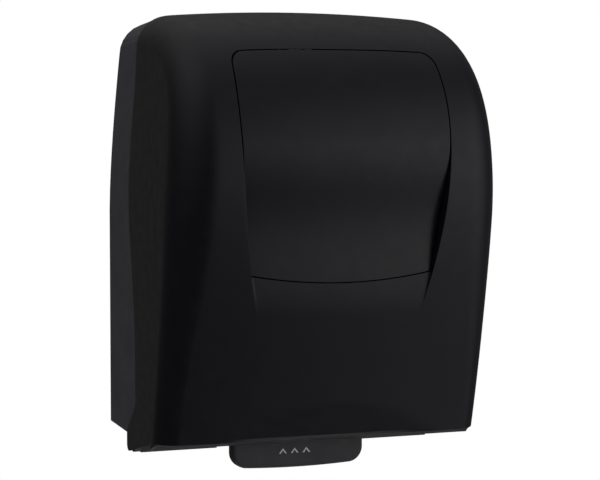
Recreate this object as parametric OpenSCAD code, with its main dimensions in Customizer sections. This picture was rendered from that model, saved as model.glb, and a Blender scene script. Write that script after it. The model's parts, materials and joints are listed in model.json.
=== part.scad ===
// Wall-hung roll towel dispenser: a hinged cover, a feed drum that carries the knife, and a push paddle.
// Sizes are in millimetres. Heights count from a base level just above the cover's front lip,
// and depths from the wall face;
// the drawn frame has its origin in the middle of the wall screws.

/* [Body] */
// Width over the cover
body_width = 320; // [300:5:340]
// Depth from the wall to the fullest part of the cover
body_depth = 230; // [220:2:245]
// Height of the top above the base level
body_height = 393; // [385:2:405]
// Height of the fullest part of the cover above the base level
bulge_height = 241; // [230:2:250]
// Depth of the front lip from the wall
lip_depth = 173; // [168:1:180]
// Radius of the front corners at the top
corner_top = 29; // [25:1:33]
// Radius of the front corners at the fullest part
corner_middle = 37; // [33:1:41]
// Radius of the front corners at the bottom
corner_low = 20; // [17:1:24]
// How far the front bows out between its edges
front_bow = 10; // [6:1:14]
// How far the top bows up between its edges
top_bow = 8; // [6:1:10]
// How far each side leans in by the top
side_taper = 11; // [8:1:13]
// Height where the sides start to lean in
taper_height = 194; // [186:2:206]
// Thickness of the cover
cover_wall = 3; // [2.5:0.1:3.6]
// Thickness of the rear case
case_wall = 3; // [2.5:0.1:4]
// How far the rear case sits inside the cover's outer face
case_step = 1; // [0.6:0.1:1.4]
// Gap between the cover and the rear case
seam_gap = 0.8; // [0.5:0.1:1.5]
// Depth of the seam in the upper half
seam_upper = 66; // [60:1:70]
// Depth of the seam in the lower half
seam_lower = 88; // [84:1:92]

/* [Wall screws] */
// Distance between the screw holes across
screw_spacing_x = 160; // [140:5:170]
// Distance between the screw holes upright
screw_spacing_z = 200; // [195:1:204]
// Diameter of the screw holes
screw_hole = 5.5; // [4.5:0.5:6.5]
// Height of the middle of the screw holes above the base level
screw_middle = 252; // [250:1:254]

/* [Window] */
// Height of the window's lower corners
window_low = 152; // [146:1:160]
// Height of the window's upper corners
window_high = 354; // [347:1:357]
// Half width of the window at its lower corners
window_half_low = 88; // [82:1:92]
// Half width of the window at its upper corners
window_half_high = 100; // [94:1:103]
// Gap round the window panel
window_gap = 1; // [0.6:0.1:1.5]
// Deepest recess of the window panel below the cover
window_recess = 11; // [8:0.5:12]
// Thickness of the window panel
window_thick = 3.5; // [3.3:0.1:4]

/* [Chin and lip] */
// Distance of the front lip below the base level
lip_drop = 3; // [2:0.5:4]
// Height of the facet cut in the chin
facet_height = 30; // [24:1:36]
// Depth of the facet at the lip
facet_cut = 3.5; // [2.5:0.5:5]
// Thickness of the bottom flange behind the lip
flange_thick = 2.5; // [2:0.1:3]
// Depth of the flange's rear edge from the wall
flange_rear = 135; // [132:1:140]

/* [Hinge] */
// Depth of the cover's hinge axis
hinge_depth = 68.5; // [67:0.5:70]
// Distance of the hinge axis below the base level
hinge_drop = 13.5; // [12:0.5:15]
// Radius of the hinge pins
hinge_pin = 3; // [2:0.1:3.5]
// Lowest point of the ears below the base level
ear_drop = 21.7; // [20:0.1:24]

/* [Lock] */
// Depth of the lock's axis
lock_depth = 36; // [34:0.5:38]
// Radius of the lock barrel
barrel_radius = 6; // [5:0.1:7]
// Distance of the cam pin from the lock's axis
cam_reach = 20; // [18:0.5:22]
// Play between the cam pin and the catch
catch_play = 1; // [0.6:0.1:1.6]

/* [Roll holder] */
// Width of the towel roll
roll_width = 203; // [195:1:210]
// Depth of the roll's axis
roll_depth = 113; // [110:1:116]
// Height of the roll's axis
roll_height = 255; // [250:1:260]
// Radius of the hub plug that enters the roll's core
core_radius = 17; // [15:0.5:19]
// Thickness of the arms
arm_thick = 5; // [4:0.5:6]
// Depth of the sprung arm's pivot
arm_pivot_depth = 22; // [20:0.5:24]
// Radius of the arm's pivot pin
arm_pin = 3; // [2.5:0.1:3.4]

/* [Side plates] */
// Thickness of the side plates
plate_thick = 3; // [2.5:0.1:4]
// Height of the pads that the feet sit on
pad_height = 6; // [5:0.5:8]

/* [Drum] */
// Radius of the drum
drum_radius = 42; // [40:0.5:43]
// Thickness of the drum tube
drum_wall = 3; // [2.5:0.1:3.5]
// Depth of the drum's axis
drum_depth = 95; // [94:0.5:97]
// Height of the drum's axis
drum_height = 82; // [80:0.5:84]
// Radius of the drum shaft and the lever shaft
shaft_radius = 4; // [3.5:0.1:4.5]
// Thickness of the rubber grip bands
band_thick = 0.8; // [0.5:0.1:1]
// Width of the rubber grip bands
band_width = 24; // [16:1:30]
// Width of the hand feed wheel
wheel_width = 9; // [7:1:10]

/* [Knife] */
// Travel of the knife
knife_travel = 12; // [10:0.5:12]
// Angle of the knife from upright, turned towards the front
knife_angle = 110; // [100:1:120]
// Thickness of the blade
blade_thick = 1; // [0.6:0.1:1.5]
// Pitch of the blade's teeth
tooth_pitch = 5; // [4:0.5:8]
// Radius of the cam follower roller
follower_radius = 4; // [3:0.1:4.5]

/* [Pressure roller] */
// Radius of the pressure roller
roller_radius = 12; // [10:0.5:13]
// Angle of the roller above the drum's rear
roller_angle = 60; // [56:1:64]
// Radius of the roller shaft and the yoke rod
rod_radius = 3; // [2.5:0.1:3.5]
// Depth of the yoke rod
yoke_depth = 30; // [28:0.5:32]
// Height of the yoke rod
yoke_height = 112; // [110:0.5:114]

/* [Push paddle and gears] */
// Tooth module of the sector and the pinion
gear_module = 1.6; // [1.5:0.05:1.7]
// Teeth of the feed pinion
pinion_teeth = 20; // [18:1:22]
// Teeth of the sector as a full ring
sector_teeth = 90; // [86:2:94]
// Width of the sector and the pinion
gear_width = 6; // [5:0.5:8]
// Travel of the paddle in degrees
push_travel = 20; // [16:1:20]
// Width of the paddle
paddle_width = 134; // [124:2:140]
// Height of the paddle
paddle_height = 34; // [30:1:36]
// Depth of the paddle's front face
paddle_front = 98; // [96:0.5:100]
// Lowest point of the paddle below the base level
paddle_drop = 42; // [40:0.5:44]

/* [Springs] */
// Wire diameter of the springs
wire = 1.2; // [1:0.1:1.3]
// Turns of the torsion springs
torsion_turns = 5; // [4:1:5]
// Turns of the pressure springs
pressure_turns = 6; // [5:1:7]

/* [Fits] */
// Radial gap of a fixed fit
fit_gap = 0.02; // [0.01:0.01:0.04]
// Radial gap of a running fit
run_gap = 0.06; // [0.04:0.01:0.1]
// Gap beside sliding and turning pieces
side_gap = 0.6; // [0.5:0.1:1]

/* [Hidden] */
$fn = 48;
half = body_width / 2;
lean = 0.27;
crown_rise = 9;
rear_flat = 45;
top_reach = 125;
bulge_reach = 93;
low_reach = 55;
lip_reach = 105;
top_steps = 11;
low_steps = 8;
corner_steps = 6;
front_steps = 12;
far = 400;

// Side outline of the cover's middle as depth and height, over the top and down the front
top_curve = [[rear_flat, body_height], [rear_flat + top_reach, body_height + crown_rise],
             [body_depth, bulge_height + bulge_reach], [body_depth, bulge_height]];
low_curve = [[body_depth, bulge_height], [body_depth, bulge_height - low_reach],
             [lip_depth + lean * lip_reach, lip_reach], [lip_depth, 0]];
function curve(p, t) = pow(1 - t, 3) * p[0] + 3 * pow(1 - t, 2) * t * p[1]
    + 3 * (1 - t) * t * t * p[2] + t * t * t * p[3];
function heading(p, t) = 3 * pow(1 - t, 2) * (p[1] - p[0]) + 6 * (1 - t) * t * (p[2] - p[1])
    + 3 * t * t * (p[3] - p[2]);
function unit(v) = v / norm(v);
function inward(v) = [unit(v)[1], -unit(v)[0]];
rise_slope = crown_rise / top_reach;
below_lip = 60;
side_rows = concat(
    [[[0, body_height - rear_flat * rise_slope], inward([1, rise_slope])]],
    [for (i = [0:top_steps]) [curve(top_curve, i / top_steps), inward(heading(top_curve, i / top_steps))]],
    [for (i = [1:low_steps]) [curve(low_curve, i / low_steps), inward(heading(low_curve, i / low_steps))]],
    [[[lip_depth - lean * below_lip, -below_lip], inward([-lean, -1])]]);
row_count = len(side_rows);
column_count = 2 * corner_steps + front_steps + 1;
function smooth(t) = t * t * (3 - 2 * t);
function ease(t) = smooth(max(0, min(1, t)));
function top_share(z) = ease((z - bulge_height) / (body_height - bulge_height));
function corner_at(z) = corner_low + (corner_middle - corner_low) * ease(z / bulge_height)
    + (corner_top - corner_middle) * top_share(z);
function bow_at(z) = front_bow + (top_bow - front_bow) * top_share(z);
function taper_share(z) = max(0, min(1, (z - taper_height) / (body_height - taper_height)));
function half_at(z) = half - side_taper * pow(taper_share(z), 1.5);

// Recess of the window's field below the cover's own surface
recess_low = window_low - 37;
recess_high = window_high - 74;
function recess_share(z) = max(0, min(1, (z - recess_low) / (recess_high - recess_low)));
function recess_at(z) = window_recess * pow(sin(180 * recess_share(z)), 2);

// Turn of a column round the front corner, and its place across the front
function turn_at(c) = c < corner_steps ? 90 * (1 - c / corner_steps)
    : c > corner_steps + front_steps ? 90 * (c - corner_steps - front_steps) / corner_steps : 0;
function across(c) = max(-1, min(1, 2 * (c - corner_steps) / front_steps - 1));
function column_x(c, r, h) = across(c) * (h - r) + sign(across(c)) * r * sin(turn_at(c));
function column_in(c, r, h, bow) = bow * pow(column_x(c, r, h) / half, 2) + r * (1 - cos(turn_at(c)));
function skin_point(i, c, inset, recess, rear, low) =
    let (p = side_rows[i][0], n = side_rows[i][1], r = corner_at(p[1]) - inset, h = half_at(p[1]) - inset,
         d = inset + column_in(c, r, h, bow_at(p[1])) + recess * recess_at(p[1]), q = p + n * d)
    [column_x(c, r, h), i == 0 ? -rear : -q[0], i == row_count - 1 ? low : q[1]];

// Closed form behind the outer skin, set in by inset, cut off at a rear depth and a low height.
// The side walls run straight back from each row below the shoulder.
shoulder_row = 5;
module form(inset, rear, low, recess = 0) {
    last = column_count - 1;
    end_row = row_count - 1;
    skin = [for (i = [0:end_row]) for (c = [0:last]) skin_point(i, c, inset, recess, rear, low)];
    function at(i, c) = i * column_count + c;
    rear_edge = [for (c = [0, last]) for (i = [shoulder_row:end_row])
        let (p = skin[at(i, c)]) [p[0], -rear, p[2]]];
    edge_count = end_row - shoulder_row + 1;
    left_base = row_count * column_count;
    right_base = left_base + edge_count;
    function left_at(i) = left_base + max(0, i - shoulder_row);
    function right_at(i) = right_base + max(0, i - shoulder_row);
    skin_faces = [for (i = [0:end_row - 1]) for (c = [0:last - 1]) for (k = [0, 1])
        k == 0 ? [at(i, c), at(i, c + 1), at(i + 1, c + 1)] : [at(i, c), at(i + 1, c + 1), at(i + 1, c)]];
    side_faces = [for (i = [0:end_row - 1]) for (k = [0, 1])
        k == 0 ? [left_at(i), at(i, 0), at(i + 1, 0)] : [right_at(i), at(i + 1, last), at(i, last)]];
    back_faces = [for (i = [shoulder_row:end_row - 1]) for (k = [0, 1])
        k == 0 ? [left_at(i), at(i + 1, 0), left_at(i + 1)] : [right_at(i), right_at(i + 1), at(i + 1, last)]];
    rim = concat([for (i = [end_row:-1:shoulder_row]) left_at(i)], [for (c = [0:last]) at(0, c)],
                 [for (i = [shoulder_row:end_row]) right_at(i)]);
    top = at(0, last / 2);
    rear_faces = [for (k = [0:len(rim) - 1])
        let (a = rim[k], b = rim[(k + 1) % len(rim)]) if (a != top && b != top) [top, b, a]];
    hem = concat([left_at(end_row)], [for (c = [0:last]) at(end_row, c)], [right_at(end_row)]);
    low_faces = [for (k = [1:len(hem) - 2]) [hem[0], hem[k], hem[k + 1]]];
    polyhedron(concat(skin, rear_edge), concat(skin_faces, side_faces, back_faces, rear_faces, low_faces), 12);
}

// Drawing helpers: outlines in depth and height run along the width, outlines across run out from the wall
function flip(points) = [for (p = points) [-p[0], p[1]]];
module along_x(x0, x1) {
    translate([x0, 0, 0]) rotate([90, 0, 90]) linear_extrude(x1 - x0) children();
}
module from_wall(d0, d1) {
    translate([0, -d0, 0]) rotate([90, 0, 0]) linear_extrude(d1 - d0) children();
}
module rod_x(x0, x1, d, z, r) {
    translate([x0, -d, z]) rotate([0, 90, 0]) cylinder(h = x1 - x0, r = r);
}
module rod_y(x, z, d0, d1, r) {
    translate([x, -d0, z]) rotate([90, 0, 0]) cylinder(h = d1 - d0, r = r);
}
module rod_z(x, d, z0, z1, r) {
    translate([x, -d, z0]) cylinder(h = z1 - z0, r = r);
}
module box(x0, x1, d0, d1, z0, z1) {
    translate([x0, -d1, z0]) cube([x1 - x0, d1 - d0, z1 - z0]);
}
module both_sides() {
    children();
    mirror([1, 0, 0]) children();
}
module in_frame() {
    translate([0, 0, -screw_middle]) children();
}

// Screw along a wall normal, its head resting at depth zero and its shank going back towards the wall
thread_radius = 1.75;
head_radius = 3.5;
head_height = 2.3;
thread_length = 8;
pilot_depth = 8.5;
module screw() {
    rotate([90, 0, 0]) cylinder(h = head_height, r = head_radius);
    rotate([-90, 0, 0]) cylinder(h = thread_length, r = thread_radius);
}
module pilot() {
    rotate([90, 0, 0]) cylinder(h = 20, r = thread_radius + fit_gap);
    rotate([-90, 0, 0]) cylinder(h = pilot_depth, r = thread_radius + fit_gap);
}

// One unbroken wire swept along points, with rings of six sides turned by a fixed axis
ring_sides = 6;
module wire_along(points, axis, r) {
    count = len(points);
    ways = [for (i = [0:count - 1]) unit(points[min(count - 1, i + 1)] - points[max(0, i - 1)])];
    rings = [for (i = [0:count - 1])
        let (n = unit(cross(ways[i], axis)), b = cross(ways[i], n))
        for (k = [0:ring_sides - 1]) points[i] + r * (cos(60 * k) * n + sin(60 * k) * b)];
    sides = [for (i = [0:count - 2]) for (k = [0:ring_sides - 1]) for (s = [0, 1])
        let (k2 = (k + 1) % ring_sides, a = i * ring_sides + k, b = i * ring_sides + k2, e = a + ring_sides,
             f = b + ring_sides)
        s == 0 ? [a, f, b] : [a, e, f]];
    start = [for (k = [1:ring_sides - 2]) [0, k, k + 1]];
    end = [for (k = [1:ring_sides - 2])
        let (o = (count - 1) * ring_sides) [o, o + k + 1, o + k]];
    polyhedron(rings, concat(sides, start, end), 4);
}
function least_gap(points, skip, r) =
    min([for (i = [0:len(points) - 1]) for (j = [i + skip:1:len(points) - 1])
        norm(points[i] - points[j])]) - 2 * r;

// Places shared by several pieces
wall_inside = case_wall;
pad_face = case_wall + pad_height;
foot_thick = 3;
case_in = half - case_step - case_wall;
cover_in = half - cover_wall;
wheel_clear = 9;
gear_clear = 4;
wheel_out = case_in - wheel_clear;
wheel_in = wheel_out - wheel_width;
gear_out = wheel_in - gear_clear;
gear_in = gear_out - gear_width;
plate_out = gear_in - gear_clear;
plate_in = plate_out - plate_thick;
cam_face = 9;
cam_clear = 2;
end_flange = 3;
tongue_step = 3;
drum_half = plate_in - cam_face - cam_clear - end_flange - tongue_step;
foot_out = plate_out + 18;
foot_x = plate_out + 10;
foot_low = 30;
foot_high = 132;
foot_half = 14;
gear_spread = (sector_teeth - pinion_teeth) * gear_module / 2;
gear_lean = 15.5;
lever_depth = drum_depth - gear_spread * sin(gear_lean);
lever_height = drum_height - gear_spread * cos(gear_lean);
band_radius = drum_radius + band_thick;
nip = band_radius + roller_radius + 0.3;
roller_depth = drum_depth - nip * cos(roller_angle);
roller_height = drum_height + nip * sin(roller_angle);
tie_depth = lever_depth - 30;
coil_radius = 6;
tie_height = lever_height + coil_radius + wire / 2 + rod_radius + 0.1;
bush_radius = shaft_radius + 3;
bush_flange = shaft_radius + 5;
bush_rim = 1.5;

// Outline of the lower rear end of the cover's side, and the seam above it
ear_depth = hinge_depth - 8.5 - seam_gap;
ear_round = 6;
ear_rear = ear_depth + seam_gap;
flange_line = [[145, -lip_drop], [lip_depth, -lip_drop]];
ear_slope = (flange_line[0][1] + ear_drop) / (flange_line[0][0] - ear_rear);
function line_height(d) = flange_line[0][1] + (d - flange_line[0][0]) * ear_slope;
seam_step = 6;
seam_step_high = body_height - 25;
seam_step_low = body_height - 80;
seam_turn_high = 250;
seam_turn_low = 65;
seam_foot = 25;
function seam_at(z) = seam_upper
    + (seam_lower - seam_upper) * ease((seam_turn_high - z) / (seam_turn_high - seam_turn_low))
    - seam_step * ease((z - seam_step_low) / (seam_step_high - seam_step_low));
seam_heights = concat(
    [for (i = [0:4]) seam_step_high + i / 4 * (seam_step_low - seam_step_high)],
    [for (i = [0:10]) seam_turn_high + i / 10 * (seam_turn_low - seam_turn_high)]);
seam = concat([[seam_upper - seam_step, far]], [for (z = seam_heights) [seam_at(z), z]],
    [[seam_lower, seam_foot], [ear_depth, -3]]);
ear_arc = [for (a = [0:22.5:90])
    [ear_rear + ear_round * (1 - cos(a)), ear_round - ear_drop - ear_round * sin(a)]];
ear_front = ear_rear + 3 * ear_round;
module cover_side() {
    polygon(flip(concat([for (p = seam) [p[0] + seam_gap, p[1]]], ear_arc,
        [[ear_front, line_height(ear_front)]], flange_line, [[far, -lip_drop], [far, far]])));
}
module case_side() {
    polygon(flip(concat(seam, [[ear_depth - 3, -5], [-1, -2], [-1, far]])));
}

// Outline of the window across the front, grown by a margin
window_sag = 8;
window_rise = 1.5;
window_corner = 13;
window_bulge = 106;
window_bulge_rise = 113;
window_side_high = window_high - 14;
window_side = [[window_half_low, window_low], [window_bulge, window_low + window_bulge_rise],
               [window_half_high, window_side_high]];
function side_curve(t) =
    pow(1 - t, 2) * window_side[0] + 2 * (1 - t) * t * window_side[1] + t * t * window_side[2];
function window_right(g) = concat(
    [for (i = [0:3]) let (u = i / 4) [u * (window_half_low + g), window_low - window_sag * (1 - u * u) - g]],
    [for (i = [0:8]) side_curve(i / 8) + [g, i == 0 ? -g : 0]],
    [for (a = [30, 60, 90])
        [window_half_high - window_corner * (1 - cos(a)) + g,
         window_side_high + (window_corner + g) * sin(a) * 1.1]],
    [for (i = [3:-1:0]) let (u = i / 4)
        [u * (window_half_high - window_corner), window_high + window_rise * (1 - u * u) + g]]);
function mirrored(points) = [for (i = [len(points) - 2:-1:1]) [-points[i][0], points[i][1]]];
module window_outline(g) {
    polygon(concat(window_right(g), mirrored(window_right(g))));
}
field_half = window_half_low - 10;
window_rim = 3;
skin_lap = 0.6;
module field_outline(g) {
    side = window_half_low + g;
    window_outline(g);
    polygon([[-field_half - g, recess_low - g], [field_half + g, recess_low - g], [side, window_low + 0.5],
             [-side, window_low + 0.5]]);
}

// Chin facet as a plane that leans behind the front, in depth and height
facet_top = [lip_depth + lean * facet_height, facet_height];
facet_lip = [lip_depth - lean * lip_drop - facet_cut, -lip_drop];
facet_way = unit(facet_top - facet_lip);
facet_under = facet_lip - 12 * facet_way;
chin_half = half - 40;
module chin_cut() {
    polygon(flip([facet_under, facet_top, [far, facet_height], [far, facet_under[1]]]));
}
module chin_back() {
    back = [-cover_wall - 1, 0];
    polygon(flip([facet_lip + back, facet_top + back, facet_top + [0.5, 0], facet_lip + [0.5, 0]]));
}
module flange_outline() {
    rear = [flange_rear, line_height(flange_rear)];
    up = [0, flange_thick];
    polygon(flip([rear, flange_line[0], flange_line[1], [far, -lip_drop], [far, flange_thick - lip_drop], flange_line[1] + up,
                  flange_line[0] + up, rear + up]));
}

// Lock and catch heights, from the top down
lock_seat = body_height - 4;
lock_flange = 1.8;
lock_boss = 17;
lock_nut_high = 6;
cam_high = lock_seat - lock_boss - lock_nut_high - 5;
cam_thick = 3;
catch_thick = 2.5;
catch_high = cam_high - cam_thick - 2;
cam_pin = 2.5;
finger_front = lock_depth + cam_reach - cam_pin - catch_play;
finger_rear = finger_front - 6;
catch_face = 96;
catch_half = 14;
block_low = lock_seat - 22;
catch_screw_x = 9;
catch_screw_z = block_low + 8;

module front_cover() {
    color("#1c1d20") in_frame() difference() {
        union() {
            difference() {
                intersection() {
                    form(0, 0, -below_lip);
                    along_x(-far, far) cover_side();
                }
                form(cover_wall, -20, -below_lip - 20);
            }
            intersection() {
                from_wall(hinge_depth, far) field_outline(window_rim);
                difference() {
                    form(skin_lap, 0, -below_lip);
                    form(cover_wall, -20, -below_lip - 20, 1);
                }
            }
            intersection() {
                form(skin_lap, 0, -below_lip);
                union() {
                    along_x(-half + 1, half - 1) flange_outline();
                    along_x(-chin_half, chin_half) chin_back();
                    box(-catch_half, catch_half, catch_face, catch_face + pilot_depth + 2, block_low, far);
                }
            }
        }
        along_x(-far, far) chin_cut();
        from_wall(hinge_depth, far) window_outline(0);
        difference() {
            from_wall(hinge_depth, far) field_outline(0);
            form(0, 0, -below_lip, 1);
        }
        both_sides()
            rod_x(cover_in - 1, cover_in + cover_wall * 0.7, hinge_depth, -hinge_drop, hinge_pin + run_gap);
        for (s = [-1, 1])
            translate([s * catch_screw_x, -catch_face, catch_screw_z]) rotate([0, 0, 180]) pilot();
    }
}

// Four tabs hold the panel behind the edge of the opening
tab_half = 8;
tab_reach = 5;
module window_tabs() {
    for (s = [-1, 1]) {
        translate([s * 50, window_low - 4]) square([2 * tab_half, 2 * tab_reach + 4], center = true);
        translate([s * 50, window_high + 1]) square([2 * tab_half, 2 * tab_reach + 4], center = true);
    }
}
module window_panel() {
    color("#202226") in_frame() {
        intersection() {
            from_wall(hinge_depth, far) window_outline(-window_gap);
            difference() {
                form(0, 0, -below_lip, 1);
                form(window_thick, -20, -below_lip - 20, 1);
            }
        }
        intersection() {
            from_wall(hinge_depth, far) window_tabs();
            difference() {
                form(cover_wall + 0.2, 0, -below_lip, 1);
                form(cover_wall + 2.2, -20, -below_lip - 20, 1);
            }
        }
    }
}

// Rear case with its pads, hinge lugs, lock boss and spring spigots
arm_screw_x = roll_width / 2 + 24;
arm_screw_z = 12;
lug_in = case_in - 6;
lug_radius = 9;
spring_x = 90;
spring_height = yoke_height + 23;
spigot = 2.5;
spigot_length = 4;
case_floor = 3;
floor_front = ear_depth - 4;
module lug_outline() {
    translate([-hinge_depth, -hinge_drop]) circle(r = lug_radius);
    polygon(flip([[hinge_depth - lug_radius, -hinge_drop], [ear_depth - 18, 2], [ear_depth - 18, 24],
                  [seam_lower - 8, 24], [hinge_depth + lug_radius, -hinge_drop]]));
}
module rear_case() {
    color("#3a3b3f") in_frame() difference() {
        union() {
            difference() {
                intersection() {
                    form(case_step, 0, -below_lip);
                    along_x(-far, far) case_side();
                }
                form(case_step + case_wall, wall_inside, -below_lip - 20);
            }
            along_x(-case_in - 0.3, case_in + 0.3)
                polygon(flip([[0, -2], [floor_front, -5], [floor_front, case_floor - 5], [0, case_floor - 2]]));
            both_sides() along_x(lug_in, case_in + 0.3) lug_outline();
            both_sides() {
                for (z = [foot_low, foot_high]) rod_y(foot_x, z, case_wall - 0.5, pad_face, 6);
                for (s = [-1, 1])
                    rod_y(arm_screw_x, roll_height + s * arm_screw_z, case_wall - 0.5, pad_face, 6);
                rod_y(spring_x, spring_height, case_wall - 0.5, case_wall + spigot_length, spigot);
            }
            rod_z(0, lock_depth, lock_seat - lock_boss, lock_seat, barrel_radius + 8);
        }
        for (sx = [-1, 1]) for (sz = [-1, 1])
            rod_y(sx * screw_spacing_x / 2, screw_middle + sz * screw_spacing_z / 2, -1, case_wall + 1,
                  screw_hole / 2);
        both_sides() {
            for (z = [foot_low, foot_high]) translate([foot_x, -pad_face - foot_thick, z]) pilot();
            for (s = [-1, 1])
                translate([arm_screw_x, -pad_face - foot_thick, roll_height + s * arm_screw_z]) pilot();
            rod_x(lug_in - 1, case_in + 1, hinge_depth, -hinge_drop, hinge_pin + fit_gap);
        }
        rod_z(0, lock_depth, lock_seat - lock_boss - 1, far, barrel_radius + 3.5 + run_gap);
        rod_z(0, lock_depth, lock_seat, far, barrel_radius + 5.5);
    }
}

module hinge_pins() {
    color("#b9bcc2") in_frame()
        both_sides() rod_x(lug_in - 3, cover_in + cover_wall * 0.5, hinge_depth, -hinge_drop, hinge_pin);
}

// Lock
module lock_housing() {
    color("#b9bcc2") in_frame() difference() {
        union() {
            rod_z(0, lock_depth, cam_high + 1, lock_seat, barrel_radius + 3.5);
            rod_z(0, lock_depth, lock_seat, lock_seat + lock_flange, barrel_radius + 5);
        }
        rod_z(0, lock_depth, cam_high, far, barrel_radius + run_gap);
    }
}
module lock_nut() {
    color("#a9acb1") in_frame() difference() {
        translate([0, -lock_depth, lock_seat - lock_boss - lock_nut_high])
            cylinder(h = lock_nut_high, r = barrel_radius + 8, $fn = 6);
        rod_z(0, lock_depth, 0, far, barrel_radius + 3.5 + fit_gap);
    }
}
stud_radius = barrel_radius - 2;
module lock_barrel() {
    color("#c9ccd1") in_frame() difference() {
        union() {
            rod_z(0, lock_depth, cam_high + 0.2, lock_seat + lock_flange, barrel_radius);
            rod_z(0, lock_depth, cam_high - cam_thick - 1.5, cam_high + 1, stud_radius);
        }
        box(-0.8, 0.8, lock_depth - 3.5, lock_depth + 3.5, lock_seat - 6, far);
    }
}
module lock_cam() {
    color("#a9acb1") in_frame() difference() {
        union() {
            rod_z(0, lock_depth, cam_high - cam_thick, cam_high, barrel_radius + 2);
            box(0, cam_reach, lock_depth - 4, lock_depth + 4, cam_high - cam_thick, cam_high);
            rod_z(cam_reach, lock_depth, cam_high - cam_thick, cam_high, 4);
            rod_z(cam_reach, lock_depth, catch_high - catch_thick - 2, cam_high, cam_pin);
        }
        rod_z(0, lock_depth, cam_high - 2 * cam_thick, cam_high + 1, stud_radius + fit_gap);
    }
}
module cover_catch() {
    color("#a9acb1") in_frame() difference() {
        union() {
            box(-catch_half, -catch_half + 8, finger_rear, catch_face, catch_high - catch_thick, catch_high);
            box(-catch_half, 3, finger_rear, finger_front, catch_high - catch_thick, catch_high);
            box(-catch_half, catch_half, catch_face - foot_thick, catch_face, catch_high - catch_thick,
                catch_screw_z + 8);
        }
        for (s = [-1, 1])
            translate([s * catch_screw_x, -catch_face, catch_screw_z]) rotate([0, 0, 180]) pilot();
    }
}
module catch_screws() {
    color("#8f9298") in_frame() for (s = [-1, 1])
        translate([s * catch_screw_x, foot_thick - catch_face, catch_screw_z]) rotate([0, 0, 180]) screw();
}

// Roll holder
arm_in = roll_width / 2 + 6.5;
arm_out = arm_in + arm_thick;
arm_half = 18;
hub_flange = 24;
hub_thick = 4.5;
hub_gap = 0.5;
axle_radius = 5;
plug_length = 11;
plug_in = arm_in - hub_gap - hub_thick - plug_length;
arm_axis_x = arm_out + 1;
knuckle_radius = arm_pin + 4;
lug_thick = 6;
lug_half = 24;
knuckle_low = roll_height - 6;
knuckle_high = roll_height + lug_half - lug_thick - side_gap;
module arm_outline(rear) {
    translate([-roll_depth, roll_height]) circle(r = arm_half);
    polygon(flip([[rear, knuckle_low + 1], [rear, roll_height + 15], [roll_depth, roll_height + arm_half],
                  [roll_depth, roll_height - arm_half], [arm_pivot_depth + 12, roll_height - 14],
                  [arm_pivot_depth + 12, knuckle_low + 1]]));
}
module hub_axle() {
    rod_x(plug_in + 3, arm_in + 1, roll_depth, roll_height, axle_radius);
}
foot_margin = 7;
module arm_foot(x0) {
    box(x0, arm_screw_x + foot_margin, pad_face, pad_face + foot_thick, roll_height - lug_half,
        roll_height + lug_half);
}
module arm_pilots() {
    for (s = [-1, 1]) translate([arm_screw_x, -pad_face - foot_thick, roll_height + s * arm_screw_z]) pilot();
}
module left_roll_arm() {
    color("#4a4b50") in_frame() mirror([1, 0, 0]) difference() {
        union() {
            along_x(arm_in, arm_out) arm_outline(pad_face + 1);
            hub_axle();
            arm_foot(arm_in);
        }
        arm_pilots();
    }
}
module arm_bracket() {
    color("#4a4b50") in_frame() difference() {
        union() {
            arm_foot(arm_axis_x - knuckle_radius);
            for (z = [roll_height - lug_half, roll_height + lug_half - lug_thick]) {
                rod_z(arm_axis_x, arm_pivot_depth, z, z + lug_thick, knuckle_radius);
                box(arm_axis_x - knuckle_radius, arm_axis_x + knuckle_radius, pad_face, arm_pivot_depth, z,
                    z + lug_thick);
            }
        }
        rod_z(arm_axis_x, arm_pivot_depth, 0, far, arm_pin + fit_gap);
        arm_pilots();
    }
}
module arm_pivot_pin() {
    color("#b9bcc2") in_frame() {
        rod_z(arm_axis_x, arm_pivot_depth, roll_height - lug_half - 1, roll_height + lug_half + 0.5, arm_pin);
        rod_z(arm_axis_x, arm_pivot_depth, roll_height + lug_half, roll_height + lug_half + 2, arm_pin + 1.5);
    }
}
spring_block = 38;
arm_coil = arm_pin + 2.2;
arm_coil_x = arm_axis_x + arm_coil;
module right_roll_arm() {
    color("#4a4b50") in_frame() difference() {
        union() {
            along_x(arm_in, arm_out) arm_outline(arm_pivot_depth - 4);
            rod_z(arm_axis_x, arm_pivot_depth, knuckle_low, knuckle_high, knuckle_radius);
            hub_axle();
            box(arm_out - 1, arm_coil_x - wire / 2 - 0.1, spring_block, spring_block + 4, knuckle_low - 6,
                knuckle_low + 5);
        }
        rod_z(arm_axis_x, arm_pivot_depth, 0, far, arm_pin + run_gap);
    }
}
module arm_screws() {
    color("#8f9298") in_frame() both_sides() for (s = [-1, 1])
        translate([arm_screw_x, -pad_face - foot_thick, roll_height + s * arm_screw_z]) screw();
}
module roll_hub() {
    difference() {
        union() {
            rod_x(arm_in - hub_gap - hub_thick, arm_in - hub_gap, roll_depth, roll_height, hub_flange);
            translate([plug_in, -roll_depth, roll_height]) rotate([0, 90, 0])
                cylinder(h = plug_length, r1 = core_radius - 2, r2 = core_radius);
        }
        rod_x(plug_in + 2, arm_in, roll_depth, roll_height, axle_radius + run_gap);
        for (a = [0:60:300]) translate([0, -roll_depth, roll_height]) rotate([a, 0, 0])
            rod_x(arm_in - hub_gap - 2, arm_in, 0, hub_flange - 4.5, 2);
    }
}
module left_roll_hub() {
    color("#5c5d63") in_frame() mirror([1, 0, 0]) roll_hub();
}
module right_roll_hub() {
    color("#5c5d63") in_frame() roll_hub();
}
coil_pitch = wire + 0.6;
arm_spring_low = roll_height - lug_half + lug_thick + wire / 2 + 0.6;
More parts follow.
